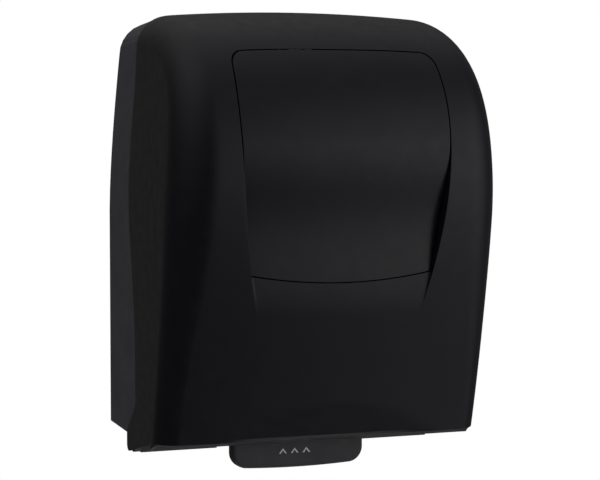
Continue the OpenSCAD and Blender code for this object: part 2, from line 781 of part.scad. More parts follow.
arm_spring_path = concat(
    [[arm_coil_x, -pad_face - foot_thick - 0.1, arm_spring_low]],
    [for (i = [0:8 * torsion_turns]) let (a = 45 * i)
        [arm_axis_x + arm_coil * cos(a), -arm_pivot_depth - arm_coil * sin(a),
         arm_spring_low + coil_pitch * i / 8]],
    [[arm_coil_x, -spring_block - 6, arm_spring_low + coil_pitch * torsion_turns]]);
module arm_spring() {
    color("#c9ccd1") in_frame() wire_along(arm_spring_path, [0, 0, 1], wire / 2);
}

// Side plates, their feet and the rods between them
front_guide = drum_radius + knife_travel + 3;
guide_thick = 2;
tongue = 10;
guide_angles = [178, 222];
rear_guide_top = [lever_depth + 23, lever_height + 6];
rear_guide_low = [lever_depth + 27, 2];
plate_reach = drum_depth + front_guide + guide_thick + 9;
plate_high = foot_high + foot_half;
module plate_outline() {
    polygon(flip([[pad_face, foot_low - foot_half], [pad_face, plate_high + 2], [50, plate_high + 4],
                  [drum_depth + 30, drum_height + 60], [plate_reach, drum_height + 30],
                  [plate_reach, drum_height - 32], [drum_depth + 45, drum_height - 68],
                  [lever_depth - 20, lever_height - 18]]));
}
module guide_tongues() {
    for (a = guide_angles) translate([-drum_depth, drum_height]) rotate(a)
        translate([front_guide, -tongue / 2]) square([guide_thick, tongue]);
}
module rear_tongue(extra) {
    z = (rear_guide_top[1] + rear_guide_low[1]) / 2 + 4;
    d = rear_guide_low[0] + (rear_guide_top[0] - rear_guide_low[0]) * (z - rear_guide_low[1])
        / (rear_guide_top[1] - rear_guide_low[1]);
    translate([-d - guide_thick - extra, z - tongue / 2 - extra])
        square([guide_thick + 2 * extra, tongue + 2 * extra]);
}
module side_plate() {
    difference() {
        union() {
            along_x(plate_in, plate_out) plate_outline();
            for (z = [foot_low, foot_high])
                box(plate_in, foot_out, pad_face, pad_face + foot_thick, z - foot_half, z + foot_half);
        }
        for (z = [foot_low, foot_high]) translate([foot_x, -pad_face - foot_thick, z]) pilot();
        rod_x(0, far, drum_depth, drum_height, bush_radius + fit_gap);
        rod_x(0, far, lever_depth, lever_height, bush_radius + fit_gap);
        rod_x(0, far, tie_depth, tie_height, rod_radius + fit_gap);
        rod_x(0, far, yoke_depth, yoke_height, rod_radius + fit_gap);
        for (a = guide_angles) along_x(0, far) translate([-drum_depth, drum_height]) rotate(a)
            translate([front_guide - fit_gap, -tongue / 2 - fit_gap])
                square([guide_thick + 2 * fit_gap, tongue + 2 * fit_gap]);
        along_x(0, far) rear_tongue(fit_gap);
    }
}
cam_screw_radius = drum_radius + 1;
module cam_pilots() {
    for (a = [90, 210, 330]) translate([-plate_out, -drum_depth, drum_height]) rotate([a, 0, 0])
        translate([0, -cam_screw_radius, 0]) rotate([0, 0, -90]) pilot();
}
module left_side_plate() {
    color("#55565b") in_frame() difference() {
        mirror([1, 0, 0]) side_plate();
        cam_pilots();
    }
}
module right_side_plate() {
    color("#55565b") in_frame() side_plate();
}
module plate_screws() {
    color("#8f9298") in_frame() both_sides() for (z = [foot_low, foot_high])
        translate([foot_x, -pad_face - foot_thick, z]) screw();
}
module bush() {
    difference() {
        union() {
            rod_x(plate_in, plate_out + bush_rim, 0, 0, bush_radius);
            rod_x(plate_out, plate_out + bush_rim, 0, 0, bush_flange);
        }
        rod_x(0, far, 0, 0, shaft_radius + run_gap);
    }
}
module shaft_bushes() {
    color("#d8c9a0") in_frame() both_sides() {
        translate([0, -drum_depth, drum_height]) bush();
        translate([0, -lever_depth, lever_height]) bush();
    }
}
module tie_rod() {
    color("#b9bcc2") in_frame() rod_x(-plate_out, plate_out, tie_depth, tie_height, rod_radius);
}
module yoke_rod() {
    color("#b9bcc2") in_frame() rod_x(-plate_out, plate_out, yoke_depth, yoke_height, rod_radius);
}

// Paper guides
chute_low = [flange_rear - 3, 4];
module paper_guide() {
    start = guide_angles[0] - 12;
    end = guide_angles[1] + 14;
    middle = (start + end) / 2;
    wide = 2 * front_guide;
    low = [drum_depth - front_guide * cos(end), drum_height + front_guide * sin(end)];
    color("#606167") in_frame() {
        along_x(-plate_in + side_gap, plate_in - side_gap) {
            translate([-drum_depth, drum_height]) intersection() {
                difference() {
                    circle(r = front_guide + guide_thick, $fn = 96);
                    circle(r = front_guide, $fn = 96);
                }
                polygon([[0, 0], wide * [cos(start), sin(start)], wide * [cos(middle), sin(middle)],
                         wide * [cos(end), sin(end)]]);
            }
            polygon(flip([low, chute_low, chute_low + [guide_thick, 0], low + [guide_thick, 1]]));
        }
        both_sides() along_x(plate_in - 2, plate_out) guide_tongues();
    }
}
module rear_guide() {
    thick = [guide_thick, 0];
    color("#606167") in_frame() {
        along_x(-plate_in + side_gap, plate_in - side_gap)
            polygon(flip([rear_guide_top, rear_guide_low, rear_guide_low + thick, rear_guide_top + thick]));
        both_sides() along_x(plate_in - 2, plate_out) rear_tongue(0);
    }
}

// Feed drum, drawn with the knife pointing up and then turned
drum_bore = drum_radius - drum_wall;
plug_deep = 7;
hub_end = plate_in - side_gap;
carrier_half = 4;
carrier_low = shaft_radius + 14;
carrier_high = carrier_low + 8;
blade_tip = drum_radius - 1;
slot_gap = 1;
module at_drum() {
    translate([0, -drum_depth, drum_height]) rotate([knife_angle, 0, 0]) children();
}
module at_axis(x0, x1, r) {
    rod_x(x0, x1, 0, 0, r);
}
module drum_body() {
    color("#7c7d82") in_frame() at_drum() difference() {
        at_axis(-drum_half, drum_half, drum_radius);
        at_axis(-drum_half - 1, drum_half + 1, drum_bore);
        box(-drum_half + plug_deep, drum_half - plug_deep, -carrier_half - blade_thick - slot_gap,
            -carrier_half + slot_gap, 0, far);
    }
}
module carrier_slot(x0, x1) {
    box(x0, x1, -carrier_half - 0.1, carrier_half + 0.1, carrier_low - 0.3,
        carrier_high + knife_travel + 0.3);
}
module drum_end() {
    difference() {
        union() {
            at_axis(drum_half - plug_deep, drum_half, drum_bore - run_gap);
            at_axis(drum_half, drum_half + end_flange, drum_radius);
            at_axis(drum_half, hub_end, shaft_radius + 5);
        }
        at_axis(0, far, shaft_radius + fit_gap);
    }
}
module drum_end_left() {
    color("#6a6b70") in_frame() at_drum() mirror([1, 0, 0]) difference() {
        drum_end();
        carrier_slot(0, far);
    }
}
module drum_end_right() {
    color("#6a6b70") in_frame() at_drum() difference() {
        drum_end();
        carrier_slot(0, drum_half);
    }
}
band_reach = drum_half - band_width - 5;
module grip_bands() {
    color("#2c2d30") in_frame() at_drum() for (x = [-band_reach, 0, band_reach]) difference() {
        at_axis(x - band_width / 2, x + band_width / 2, band_radius);
        at_axis(x - band_width, x + band_width, drum_radius + fit_gap);
        box(x - band_width, x + band_width, -carrier_half - blade_thick - 2 * slot_gap,
            -carrier_half + 2 * slot_gap, 0, far);
    }
}
wheel_radius = 17;
module drum_shaft() {
    color("#b9bcc2") in_frame() at_drum() at_axis(-plate_out - 4, wheel_out + 1, shaft_radius);
}
module feed_wheel() {
    color("#4a6fa5") in_frame() at_drum() difference() {
        union() {
            at_axis(wheel_in, wheel_out, wheel_radius);
            at_axis(gear_out + side_gap, wheel_in, shaft_radius + 3);
        }
        at_axis(0, far, shaft_radius + fit_gap);
        for (a = [0:30:330]) rotate([a, 0, 0]) rod_x(wheel_in - 1, wheel_out + 1, 0, wheel_radius + 1.2, 2.6);
    }
}

// Knife, its follower and the fixed cam
tongue_left = drum_half + end_flange + tongue_step;
tongue_right = drum_half - 0.5;
carrier_end = drum_half - plug_deep - 0.5;
follower_height = (carrier_low + carrier_high) / 2;
follower_pin = 2;
follower_in = tongue_left + 0.3;
follower_out = follower_in + 5;
module knife_carrier() {
    color("#8a8b90") in_frame() at_drum() {
        box(-carrier_end, carrier_end, -carrier_half, carrier_half, carrier_low, carrier_high);
        box(-tongue_left, tongue_right, -carrier_half, carrier_half, carrier_low, carrier_high);
        rod_x(-follower_out - 0.5, -tongue_left + 1, 0, follower_height, follower_pin);
    }
}
blade_half = carrier_end - 1;
tooth_count = floor(2 * blade_half / tooth_pitch);
blade_edge = [for (i = [0:2 * tooth_count])
    [-blade_half + i * blade_half / tooth_count, blade_tip - (i % 2 == 0 ? 4 : 0)]];
module knife_blade() {
    color("#d5d8dc") in_frame() at_drum() from_wall(-carrier_half - blade_thick, -carrier_half)
        polygon(concat([[blade_half, carrier_low], [-blade_half, carrier_low]], blade_edge));
}
module cam_follower() {
    color("#e6e2d6") in_frame() at_drum() difference() {
        rod_x(-follower_out, -follower_in, 0, follower_height, follower_radius);
        rod_x(-far, 0, 0, follower_height, follower_pin + fit_gap);
    }
}
cam_rim_in = follower_height + knife_travel + follower_radius + 1;
cam_hub_out = follower_height - follower_radius - 1;
cam_rim_out = cam_screw_radius + 4;
module knife_cam() {
    color("#c8c4b6") in_frame() difference() {
        translate([0, -drum_depth, drum_height]) difference() {
            at_axis(-plate_in, -plate_in + cam_face, cam_rim_out);
            difference() {
                at_axis(-plate_in + 3, 0, cam_rim_in);
                at_axis(-plate_in, -plate_in + cam_face, cam_hub_out);
            }
            at_axis(-far, 0, shaft_radius + 6.5);
        }
        cam_pilots();
    }
}
module cam_screws() {
    color("#8f9298") in_frame() for (a = [90, 210, 330]) translate([-plate_out, -drum_depth, drum_height])
        rotate([a, 0, 0]) translate([0, -cam_screw_radius, 0]) rotate([0, 0, -90]) screw();
}

// Pressure roller on its sprung yoke
roller_half = drum_half - 9;
yoke_in = roller_half + 10;
yoke_out = yoke_in + 4;
yoke_boss = rod_radius + 4;
yoke_long = norm([roller_depth - yoke_depth, roller_height - yoke_height]);
yoke_tilt = atan2(roller_height - yoke_height, roller_depth - yoke_depth);
bar_half = 4;
bar_low = yoke_height + rod_radius + 2;
bar_high = bar_low + 6;
tab_rear = yoke_depth - 8;
tab_thick = 3;
module yoke_arm_outline() {
    translate([-yoke_depth, yoke_height]) circle(r = yoke_boss);
    translate([-roller_depth, roller_height]) circle(r = yoke_boss);
    translate([-yoke_depth, yoke_height]) rotate(180 - yoke_tilt) translate([0, -bar_half])
        square([yoke_long, 2 * bar_half]);
}
module pressure_yoke() {
    color("#55565b") in_frame() difference() {
        union() {
            both_sides() along_x(yoke_in, yoke_out) yoke_arm_outline();
            box(-yoke_out, yoke_out, yoke_depth - bar_half, yoke_depth + bar_half, bar_low, bar_high);
            both_sides() {
                box(spring_x - 6, spring_x + 6, tab_rear, tab_rear + tab_thick, bar_low, spring_height + 6);
                box(spring_x - 6, spring_x + 6, tab_rear, yoke_depth, bar_low, bar_high);
                rod_y(spring_x, spring_height, tab_rear - spigot_length, tab_rear + 1, spigot);
            }
        }
        rod_x(-far, far, yoke_depth, yoke_height, rod_radius + run_gap);
        rod_x(-far, far, roller_depth, roller_height, rod_radius + fit_gap);
    }
}
module roller_shaft() {
    color("#b9bcc2") in_frame()
        rod_x(-yoke_out - 0.5, yoke_out + 0.5, roller_depth, roller_height, rod_radius);
}
module pressure_roller() {
    color("#303135") in_frame() difference() {
        rod_x(-roller_half, roller_half, roller_depth, roller_height, roller_radius);
        rod_x(-far, far, roller_depth, roller_height, rod_radius + run_gap);
    }
}
pressure_coil = spigot + wire / 2 + 0.6;
pressure_start = case_wall + wire / 2 + 0.15;
pressure_end = tab_rear - wire / 2 - 0.15;
pressure_path = [for (i = [0:8 * pressure_turns]) let (a = 45 * i)
    [spring_x + pressure_coil * cos(a),
     -pressure_start - (pressure_end - pressure_start) * i / (8 * pressure_turns),
     spring_height + pressure_coil * sin(a)]];
module pressure_springs() {
    color("#c9ccd1") in_frame() both_sides() wire_along(pressure_path, [0, 1, 0], wire / 2);
}

// Involute teeth: half angle of a tooth at a radius, and the flank as polar points
pressure_angle = 20;
function involute(a) = tan(a) * 180 / PI - a;
function half_tooth(n, m, r, extra) =
    let (pitch = n * m / 2, base = pitch * cos(pressure_angle), a = acos(min(1, base / max(r, base))))
    90 / n + extra / pitch * 180 / PI + involute(pressure_angle) - involute(a);
flank_steps = 4;
function polar(r, a) = [r * cos(a), r * sin(a)];
function tooth_points(n, m, low, high, extra, middle) =
    let (radii = [for (i = [0:flank_steps]) low + (high - low) * i / flank_steps])
    concat([for (r = radii) polar(r, middle - half_tooth(n, m, r, extra))],
           [for (i = [flank_steps:-1:0]) polar(radii[i], middle + half_tooth(n, m, radii[i], extra))]);
backlash = 0.12;
pinion_root = pinion_teeth * gear_module / 2 - 1.25 * gear_module;
pinion_tip = pinion_teeth * gear_module / 2 + gear_module;
ring_pitch = sector_teeth * gear_module / 2;
ring_tip = ring_pitch - 0.8 * gear_module;
ring_root = ring_pitch + 1.35 * gear_module;
ring_out = ring_root + 6;
mesh_way = 90 + gear_lean;
pinion_reach = asin((pinion_tip + 3) / gear_spread);
window_start = mesh_way - push_travel - pinion_reach - 2;
window_end = mesh_way + pinion_reach + 2;
ring_step = 360 / sector_teeth;
first_tooth = ceil((window_start - mesh_way) / ring_step + 0.5);
last_tooth = floor((window_end - mesh_way) / ring_step - 0.5);
window_floor = gear_spread - pinion_tip - 2.5;
module sector_window() {
    polygon(concat(
        [for (i = [0:8]) polar(window_floor, window_end + (window_start - window_end) * i / 8)],
        [polar(ring_tip, window_start)],
        [for (k = [first_tooth:last_tooth]) each
            tooth_points(sector_teeth, gear_module, ring_tip, ring_root, backlash, mesh_way + k * ring_step)],
        [polar(ring_tip, window_end)]));
}
module sector_outline() {
    rim_start = window_start - 7;
    rim_end = window_end + 7;
    circle(r = shaft_radius + 6);
    polygon(concat([polar(shaft_radius + 3, rim_start - 60), polar(window_floor - 6, rim_start)],
        [for (i = [0:12]) polar(ring_out, rim_start + (rim_end - rim_start) * i / 12)],
        [polar(window_floor - 6, rim_end), polar(shaft_radius + 3, rim_end + 60)]));
}
module drive_sector() {
    color("#c8c4b6") in_frame() along_x(gear_in, gear_out) translate([-lever_depth, lever_height])
        difference() {
            sector_outline();
            sector_window();
            circle(r = shaft_radius + fit_gap);
        }
}
module feed_pinion() {
    color("#e6e2d6") in_frame() {
        along_x(gear_in - 0.5, gear_out) translate([-drum_depth, drum_height]) difference() {
            polygon([for (k = [0:pinion_teeth - 1]) each
                tooth_points(pinion_teeth, gear_module, pinion_root, pinion_tip, -backlash,
                    mesh_way + k * 360 / pinion_teeth)]);
            circle(r = shaft_radius + run_gap);
        }
        translate([0, -drum_depth, drum_height]) difference() {
            at_axis(plate_out + bush_rim + 0.3, gear_in - 0.5, shaft_radius + 3);
            at_axis(0, far, shaft_radius + run_gap);
        }
    }
}

// Push lever, paddle and return spring
tube_half = 60;
tube_radius = shaft_radius + 4;
web_rear = lever_depth + coil_radius + wire / 2 + 0.1;
web_thick = 3.3;
web_front = web_rear + web_thick;
paddle_wall = 2.5;
paddle_corner = 15;
paddle_half = paddle_width / 2;
web_half = paddle_half - paddle_wall - 4;
web_low = 5 - paddle_drop;
paddle_screw_x = 40;
paddle_screw_z = paddle_height / 2 - paddle_drop;
coil_x = -tube_half - 5;
module push_lever() {
    color("#46474c") in_frame() difference() {
        union() {
            rod_x(-tube_half, tube_half, lever_depth, lever_height, tube_radius);
            box(-web_half, web_half, web_rear, web_front, web_low, lever_height);
            box(coil_x - 15, -web_half + 1, web_rear, web_front, -4, lever_height - coil_radius - 6);
        }
        rod_x(-far, far, lever_depth, lever_height, shaft_radius + fit_gap);
        for (s = [-1, 1])
            translate([s * paddle_screw_x, -web_rear, paddle_screw_z]) rotate([0, 0, 180]) pilot();
    }
}
module paddle_outline(g) {
    low = -paddle_drop + g;
    high = paddle_height - paddle_drop - g;
    side = paddle_half - g;
    r = paddle_corner - g;
    for (s = [-1, 1]) translate([s * (side - r), low + r + 1.5]) circle(r = r);
    polygon([[-side, low + r + 1.5], [-side, high], [side, high], [side, low + r + 1.5],
             [side - r, low + 1.5], [side / 3, low], [-side / 3, low], [r - side, low + 1.5]]);
}
module push_paddle() {
    color("#3c3d42") in_frame() difference() {
        union() {
            difference() {
                from_wall(web_rear - 0.5, paddle_front) paddle_outline(0);
                from_wall(0, paddle_front - paddle_wall) paddle_outline(paddle_wall);
                box(-web_half - 1, web_half + 1, 0, web_front + 0.6, -paddle_drop + 4, far);
            }
            for (s = [-1, 1]) rod_y(s * paddle_screw_x, paddle_screw_z, web_front, paddle_front - 1, 5);
        }
        for (s = [-1, 1]) translate([s * paddle_screw_x, -web_rear, paddle_screw_z]) rotate([0, 0, 180])
            rotate([-90, 0, 0]) cylinder(h = pilot_depth, r = thread_radius + fit_gap);
    }
}
module paddle_screws() {
    color("#8f9298") in_frame() for (s = [-1, 1])
        translate([s * paddle_screw_x, -web_rear, paddle_screw_z]) rotate([0, 0, 180]) screw();
}
module lever_shaft() {
    color("#b9bcc2") in_frame() rod_x(-plate_out - 4, gear_out + 2, lever_depth, lever_height, shaft_radius);
}
lever_spring_path = concat(
    [[coil_x, -lever_depth - coil_radius, lever_height - 26]],
    [for (i = [0:8 * torsion_turns + 2]) let (a = 45 * i)
        [coil_x - coil_pitch * i / 8, -lever_depth - coil_radius * cos(a),
         lever_height + coil_radius * sin(a)]],
    [[coil_x - coil_pitch * (torsion_turns + 0.25), -tie_depth + 4, lever_height + coil_radius]]);
module lever_spring() {
    color("#c9ccd1") in_frame() wire_along(lever_spring_path, [1, 0, 0], wire / 2);
}
echo(arm_spring_gap = least_gap(arm_spring_path, 5, wire / 2));
echo(pressure_spring_gap = least_gap(pressure_path, 5, wire / 2));
echo(lever_spring_gap = least_gap(lever_spring_path, 5, wire / 2));

rear_case();
front_cover();
window_panel();
hinge_pins();
lock_housing();
lock_nut();
lock_barrel();
lock_cam();
cover_catch();
catch_screws();
left_roll_arm();
arm_bracket();
arm_pivot_pin();
right_roll_arm();
arm_screws();
left_roll_hub();
right_roll_hub();
arm_spring();
left_side_plate();
right_side_plate();
plate_screws();
shaft_bushes();
tie_rod();
yoke_rod();
paper_guide();
rear_guide();
drum_body();
drum_end_left();
drum_end_right();
grip_bands();
drum_shaft();
feed_wheel();
knife_carrier();
knife_blade();
cam_follower();
knife_cam();
cam_screws();
pressure_yoke();
roller_shaft();
pressure_roller();
pressure_springs();
drive_sector();
feed_pinion();
push_lever();
push_paddle();
paddle_screws();
lever_shaft();
lever_spring();
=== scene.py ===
import json
import math

import bmesh
import bpy
import numpy as np
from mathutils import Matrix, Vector


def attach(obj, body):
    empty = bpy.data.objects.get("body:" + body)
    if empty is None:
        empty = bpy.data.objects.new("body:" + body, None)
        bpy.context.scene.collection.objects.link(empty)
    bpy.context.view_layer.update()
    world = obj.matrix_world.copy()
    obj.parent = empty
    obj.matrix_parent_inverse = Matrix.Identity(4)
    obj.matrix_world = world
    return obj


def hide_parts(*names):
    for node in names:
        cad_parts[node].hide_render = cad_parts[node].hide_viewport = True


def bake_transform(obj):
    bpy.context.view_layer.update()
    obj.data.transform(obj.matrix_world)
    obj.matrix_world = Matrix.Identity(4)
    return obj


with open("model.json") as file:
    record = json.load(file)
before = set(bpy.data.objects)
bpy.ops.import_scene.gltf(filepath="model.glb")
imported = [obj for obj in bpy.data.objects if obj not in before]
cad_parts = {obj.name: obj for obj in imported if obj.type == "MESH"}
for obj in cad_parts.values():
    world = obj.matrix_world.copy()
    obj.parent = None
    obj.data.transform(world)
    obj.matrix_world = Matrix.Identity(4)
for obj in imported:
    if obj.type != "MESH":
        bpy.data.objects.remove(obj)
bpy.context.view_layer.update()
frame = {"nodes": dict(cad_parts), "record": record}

# Sizes in millimetres: x across, depth out from the wall, height up from a base level above the lip
MM = 0.001
SCREW_MIDDLE = 252.0
HALF = 160.0
BODY_HEIGHT = 393.0
BULGE_HEIGHT = 241.0
REAR_FLAT = np.array([[0.0, 389.76], [45.0, 393.0]])
TOP_CURVE = np.array([[45.0, 393.0], [170.0, 402.0], [230.0, 334.0], [230.0, 241.0]])
LOW_CURVE = np.array([[230.0, 241.0], [230.0, 186.0], [201.35, 105.0], [173.0, 0.0]])
UNDER_WAY = np.array([-16.2, -60.0])
CORNER_LOW = 20.0
CORNER_MIDDLE = 37.0
CORNER_TOP = 29.0
FRONT_BOW = 10.0
TOP_BOW = 8.0
SIDE_TAPER = 11.0
TAPER_HEIGHT = 194.0
TAPER_POWER = 1.5
COVER_WALL = 3.0
COVER_SOFT = 0.7

# Seam between the cover and the case
SEAM_UPPER = 66.0
SEAM_LOWER = 88.0
SEAM_STEP = 6.0
SEAM_STEP_HIGH = 368.0
SEAM_STEP_LOW = 313.0
SEAM_TURN_HIGH = 250.0
SEAM_TURN_LOW = 65.0
SEAM_FOOT = 25.0
SEAM_FOOT_SLOPE = 1.0286
SEAM_GAP = 0.8

# Window, its recess and the facet in the chin
RECESS = 11.0
RECESS_LOW = 115.0
RECESS_HIGH = 280.0
WINDOW_LOW = 152.0
WINDOW_TOP = 354.0
WINDOW_SAG = 8.0
WINDOW_RISE = 1.5
WINDOW_SIDE = np.array([[88.0, 152.0], [106.0, 265.0], [100.0, 340.0]])
WINDOW_CORNER = np.array([13.0, 14.0])
WINDOW_SIDE_POINTS = 41
WINDOW_CORNER_POINTS = 11
FIELD_SLOPE = 0.22
PANE_GAP = 1.0
PANE_THICK = 3.5
PANE_SOFT = 0.6
POCKET_DEEP = 1.5
RIM_LEAN = 0.06
RIM_LEAST = 0.3
FACET_HIGH = 30.0
FACET_HALF = 105.0
FACET_DEEP = 3.5
FACET_POWER = 0.8
LIP_BAND = 8.0

# Underside of the cover and its ears
FLANGE_LINE = np.array([[145.0, -3.0], [173.0, -3.0]])
FLANGE_REAR = 135.0
FLANGE_LOW = -11.0
FLANGE_THICK = 2.5
EAR_REAR = 60.0
EAR_LOW = -21.7
EAR_ROUND = 6.0
EAR_SLOPE = 0.22
EAR_TOP = -3.0
EAR_POINTS = 9
HINGE = (68.5, -13.5)
BOSS_RADIUS = 7.0
BOSS_HOLE = 3.2
BOSS_HIGH = 1.0
BOSS_SUNK = 0.5

# Searches along the outline: the spans of s they cover and how often a span is halved
FRONT_SPAN = (1.0, 3.2)
SEAM_SPAN = (0.2, 2.2)
LIP_SPAN = (2.4, 3.6)
HALVINGS = 44

NODE_SLOTS = {part["node"]: part["material_slot"] for part in frame["record"]["subparts"]}


def to_frame(x, depth, height):
    """Points in the shared frame, in metres."""
    x, depth, height = np.broadcast_arrays(x, depth, height)
    return np.stack([x * MM, -depth * MM, (height - SCREW_MIDDLE) * MM], axis=-1)


def ease(t):
    t = np.clip(t, 0.0, 1.0)
    return t * t * (3.0 - 2.0 * t)


def bezier(points, t):
    """Point and heading on a cubic curve."""
    u = 1.0 - t
    place = u ** 3 * points[0] + 3 * u * u * t * points[1] + 3 * u * t * t * points[2] + t ** 3 * points[3]
    steps = points[1:] - points[:-1]
    return place, u * u * steps[0] + 2 * u * t * steps[1] + t * t * steps[2]


def outline(s):
    """Point and inward normal on the middle outline: rear flat, top curve, low curve, below the lip."""
    s = np.asarray(s, dtype=float)[..., None]
    flat_way = REAR_FLAT[1] - REAR_FLAT[0]
    parts = [(REAR_FLAT[0] + flat_way * s, flat_way), bezier(TOP_CURVE, s - 1.0), bezier(LOW_CURVE, s - 2.0),
             (LOW_CURVE[3] + UNDER_WAY * (s - 3.0), UNDER_WAY)]
    place, way = parts[0]
    for start in (1, 2, 3):
        place = np.where(s >= start, parts[start][0], place)
        way = np.where(s >= start, parts[start][1], way)
    way = way / np.linalg.norm(way, axis=-1, keepdims=True)
    return place, np.stack([way[..., 1], -way[..., 0]], axis=-1)


def top_share(height):
    return ease((height - BULGE_HEIGHT) / (BODY_HEIGHT - BULGE_HEIGHT))


def corner_at(height):
    low = CORNER_LOW + (CORNER_MIDDLE - CORNER_LOW) * ease(height / BULGE_HEIGHT)
    return low + (CORNER_TOP - CORNER_MIDDLE) * top_share(height)


def half_at(height):
    share = np.clip((height - TAPER_HEIGHT) / (BODY_HEIGHT - TAPER_HEIGHT), 0.0, 1.0)
    return HALF - SIDE_TAPER * share ** TAPER_POWER


def recess_at(height):
    share = np.clip((height - RECESS_LOW) / (RECESS_HIGH - RECESS_LOW), 0.0, 1.0)
    return RECESS * np.sin(math.pi * share) ** 2


def skin(x, s, inset=0.0, sunk=0.0, extra=0.0):
    """Depth and height of the skin at x and s, inset from the outside, sunk by a share of the recess."""
    place, normal = outline(s)
    level = place[..., 1]
    corner = corner_at(level) - inset
    past = np.clip((np.abs(x) - (half_at(level) - inset - corner)) / corner, 0.0, 1.0)
    bow = FRONT_BOW + (TOP_BOW - FRONT_BOW) * top_share(level)
    deep = inset + extra + bow * (x / HALF) ** 2 + corner * (1.0 - np.sqrt(1.0 - past ** 2))
    deep = deep + sunk * recess_at(level)
    place = place + normal * deep[..., None]
    return place[..., 0], place[..., 1]


def corner_x(turn, s, inset):
    level = outline(s)[0][..., 1]
    corner = corner_at(level) - inset
    return half_at(level) - inset - corner + corner * np.sin(turn)


def solve(rise, span, like):
    """Where a rising function crosses zero within a span, for each entry."""
    low = np.full(np.shape(like), span[0])
    high = np.full(np.shape(like), span[1])
    for _ in range(HALVINGS):
        middle = (low + high) / 2.0
        below = rise(middle) < 0.0
        low = np.where(below, middle, low)
        high = np.where(below, high, middle)
    return (low + high) / 2.0


def seam_at(height):
    turn = ease((SEAM_TURN_HIGH - height) / (SEAM_TURN_HIGH - SEAM_TURN_LOW))
    step = ease((height - SEAM_STEP_LOW) / (SEAM_STEP_HIGH - SEAM_STEP_LOW))
    above = SEAM_UPPER + (SEAM_LOWER - SEAM_UPPER) * turn - SEAM_STEP * step
    return np.where(height < SEAM_FOOT, SEAM_LOWER - (SEAM_FOOT - height) * SEAM_FOOT_SLOPE, above)


def underside(depth):
    front = (FLANGE_LINE[1][1] - FLANGE_LINE[0][1]) / (FLANGE_LINE[1][0] - FLANGE_LINE[0][0])
    slope = np.where(depth > FLANGE_LINE[0][0], front, EAR_SLOPE)
    return FLANGE_LINE[0][1] + (depth - FLANGE_LINE[0][0]) * slope


def window_side(grow):
    """Points up the right side of the window and round its top corner, grown by a margin."""
    t = np.linspace(0.0, 1.0, WINDOW_SIDE_POINTS)[:, None]
    u = 1.0 - t
    side = u * u * WINDOW_SIDE[0] + 2.0 * u * t * WINDOW_SIDE[1] + t * t * WINDOW_SIDE[2]
    turn = np.linspace(0.0, math.pi / 2.0, WINDOW_CORNER_POINTS)[1:, None]
    around = np.concatenate([np.cos(turn) - 1.0, np.sin(turn)], axis=1)
    path = np.concatenate([side, WINDOW_SIDE[2] + WINDOW_CORNER * around])
    share = (path[:, 1] - WINDOW_LOW) / (WINDOW_TOP - WINDOW_LOW)
    path[:, 0] += grow
    path[:, 1] += grow * (2.0 * share - 1.0)
    return path


def window_height(across, share, grow):
    """Height in the window at a share of its width and of its side's height."""
    low = WINDOW_LOW - WINDOW_SAG * (1.0 - across ** 2) - grow
    high = WINDOW_TOP + WINDOW_RISE * (1.0 - np.abs(across) ** 3) + grow
    return low + (high - low) * share


def mirrored(points):
    """The right half's grid with its mirror image before it."""
    left = points[:, :0:-1] * np.array([-1.0, 1.0, 1.0])
    return np.concatenate([left, points], axis=1)


def piece(name, mesh, slot, body, *nodes):
    """A finished piece: smooth, riding on a body, in place of CAD nodes."""
    mesh.polygons.foreach_set("use_smooth", [True] * len(mesh.polygons))
    obj = bpy.data.objects.new(name, mesh)
    bpy.context.scene.collection.objects.link(obj)
    obj.data.materials.append(MATERIALS[slot])
    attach(obj, body)
    if nodes:
        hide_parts(*nodes)
    return obj


def soften(obj, width, segments=2):
    """Rounds the edges that carry a bevel weight and keeps broad faces even."""
    bevel = obj.modifiers.new("edges", "BEVEL")
    bevel.limit_method = "WEIGHT"
    bevel.width = width * MM
    bevel.segments = segments
    bevel.use_clamp_overlap = True
    normals = obj.modifiers.new("normals", "WEIGHTED_NORMAL")
    normals.keep_sharp = True


def add_shell(bm, outer, inner, shown, sharp=()):
    """A closed shell between two grids of points, with holes where a face isn't shown."""
    weight = bm.edges.layers.float.get("bevel_weight_edge") or bm.edges.layers.float.new("bevel_weight_edge")
    rows, columns = shown.shape
    wide = columns + 1
    needed = set()
    quads = []
    for row in range(rows):
        for column in range(columns):
            if shown[row, column]:
                first = row * wide + column
                quad = (first, first + 1, first + wide + 1, first + wide)
                quads.append(quad)
                needed.update(quad)
    used = {}
    for quad in quads:
        for a, b in zip(quad, quad[1:] + quad[:1]):
            key = (min(a, b), max(a, b))
            used[key] = used.get(key, 0) + 1
    border = [key for key, count in used.items() if count == 1]
    flat_outer = outer.reshape(-1, 3)
    flat_inner = inner.reshape(-1, 3)
    front = {i: bm.verts.new(flat_outer[i]) for i in needed}
    back = {i: bm.verts.new(flat_inner[i]) for i in needed}
    for quad in quads:
        bm.faces.new([front[i] for i in quad])
        bm.faces.new([back[i] for i in reversed(quad)])
    for a, b in border:
        bm.faces.new([front[a], front[b], back[b], back[a]])
    for a, b in border + [key for key in sharp if key in used]:
        bm.edges.get((front[a], front[b]))[weight] = 1.0
        if (a, b) in border:
            bm.edges.get((back[a], back[b]))[weight] = 1.0


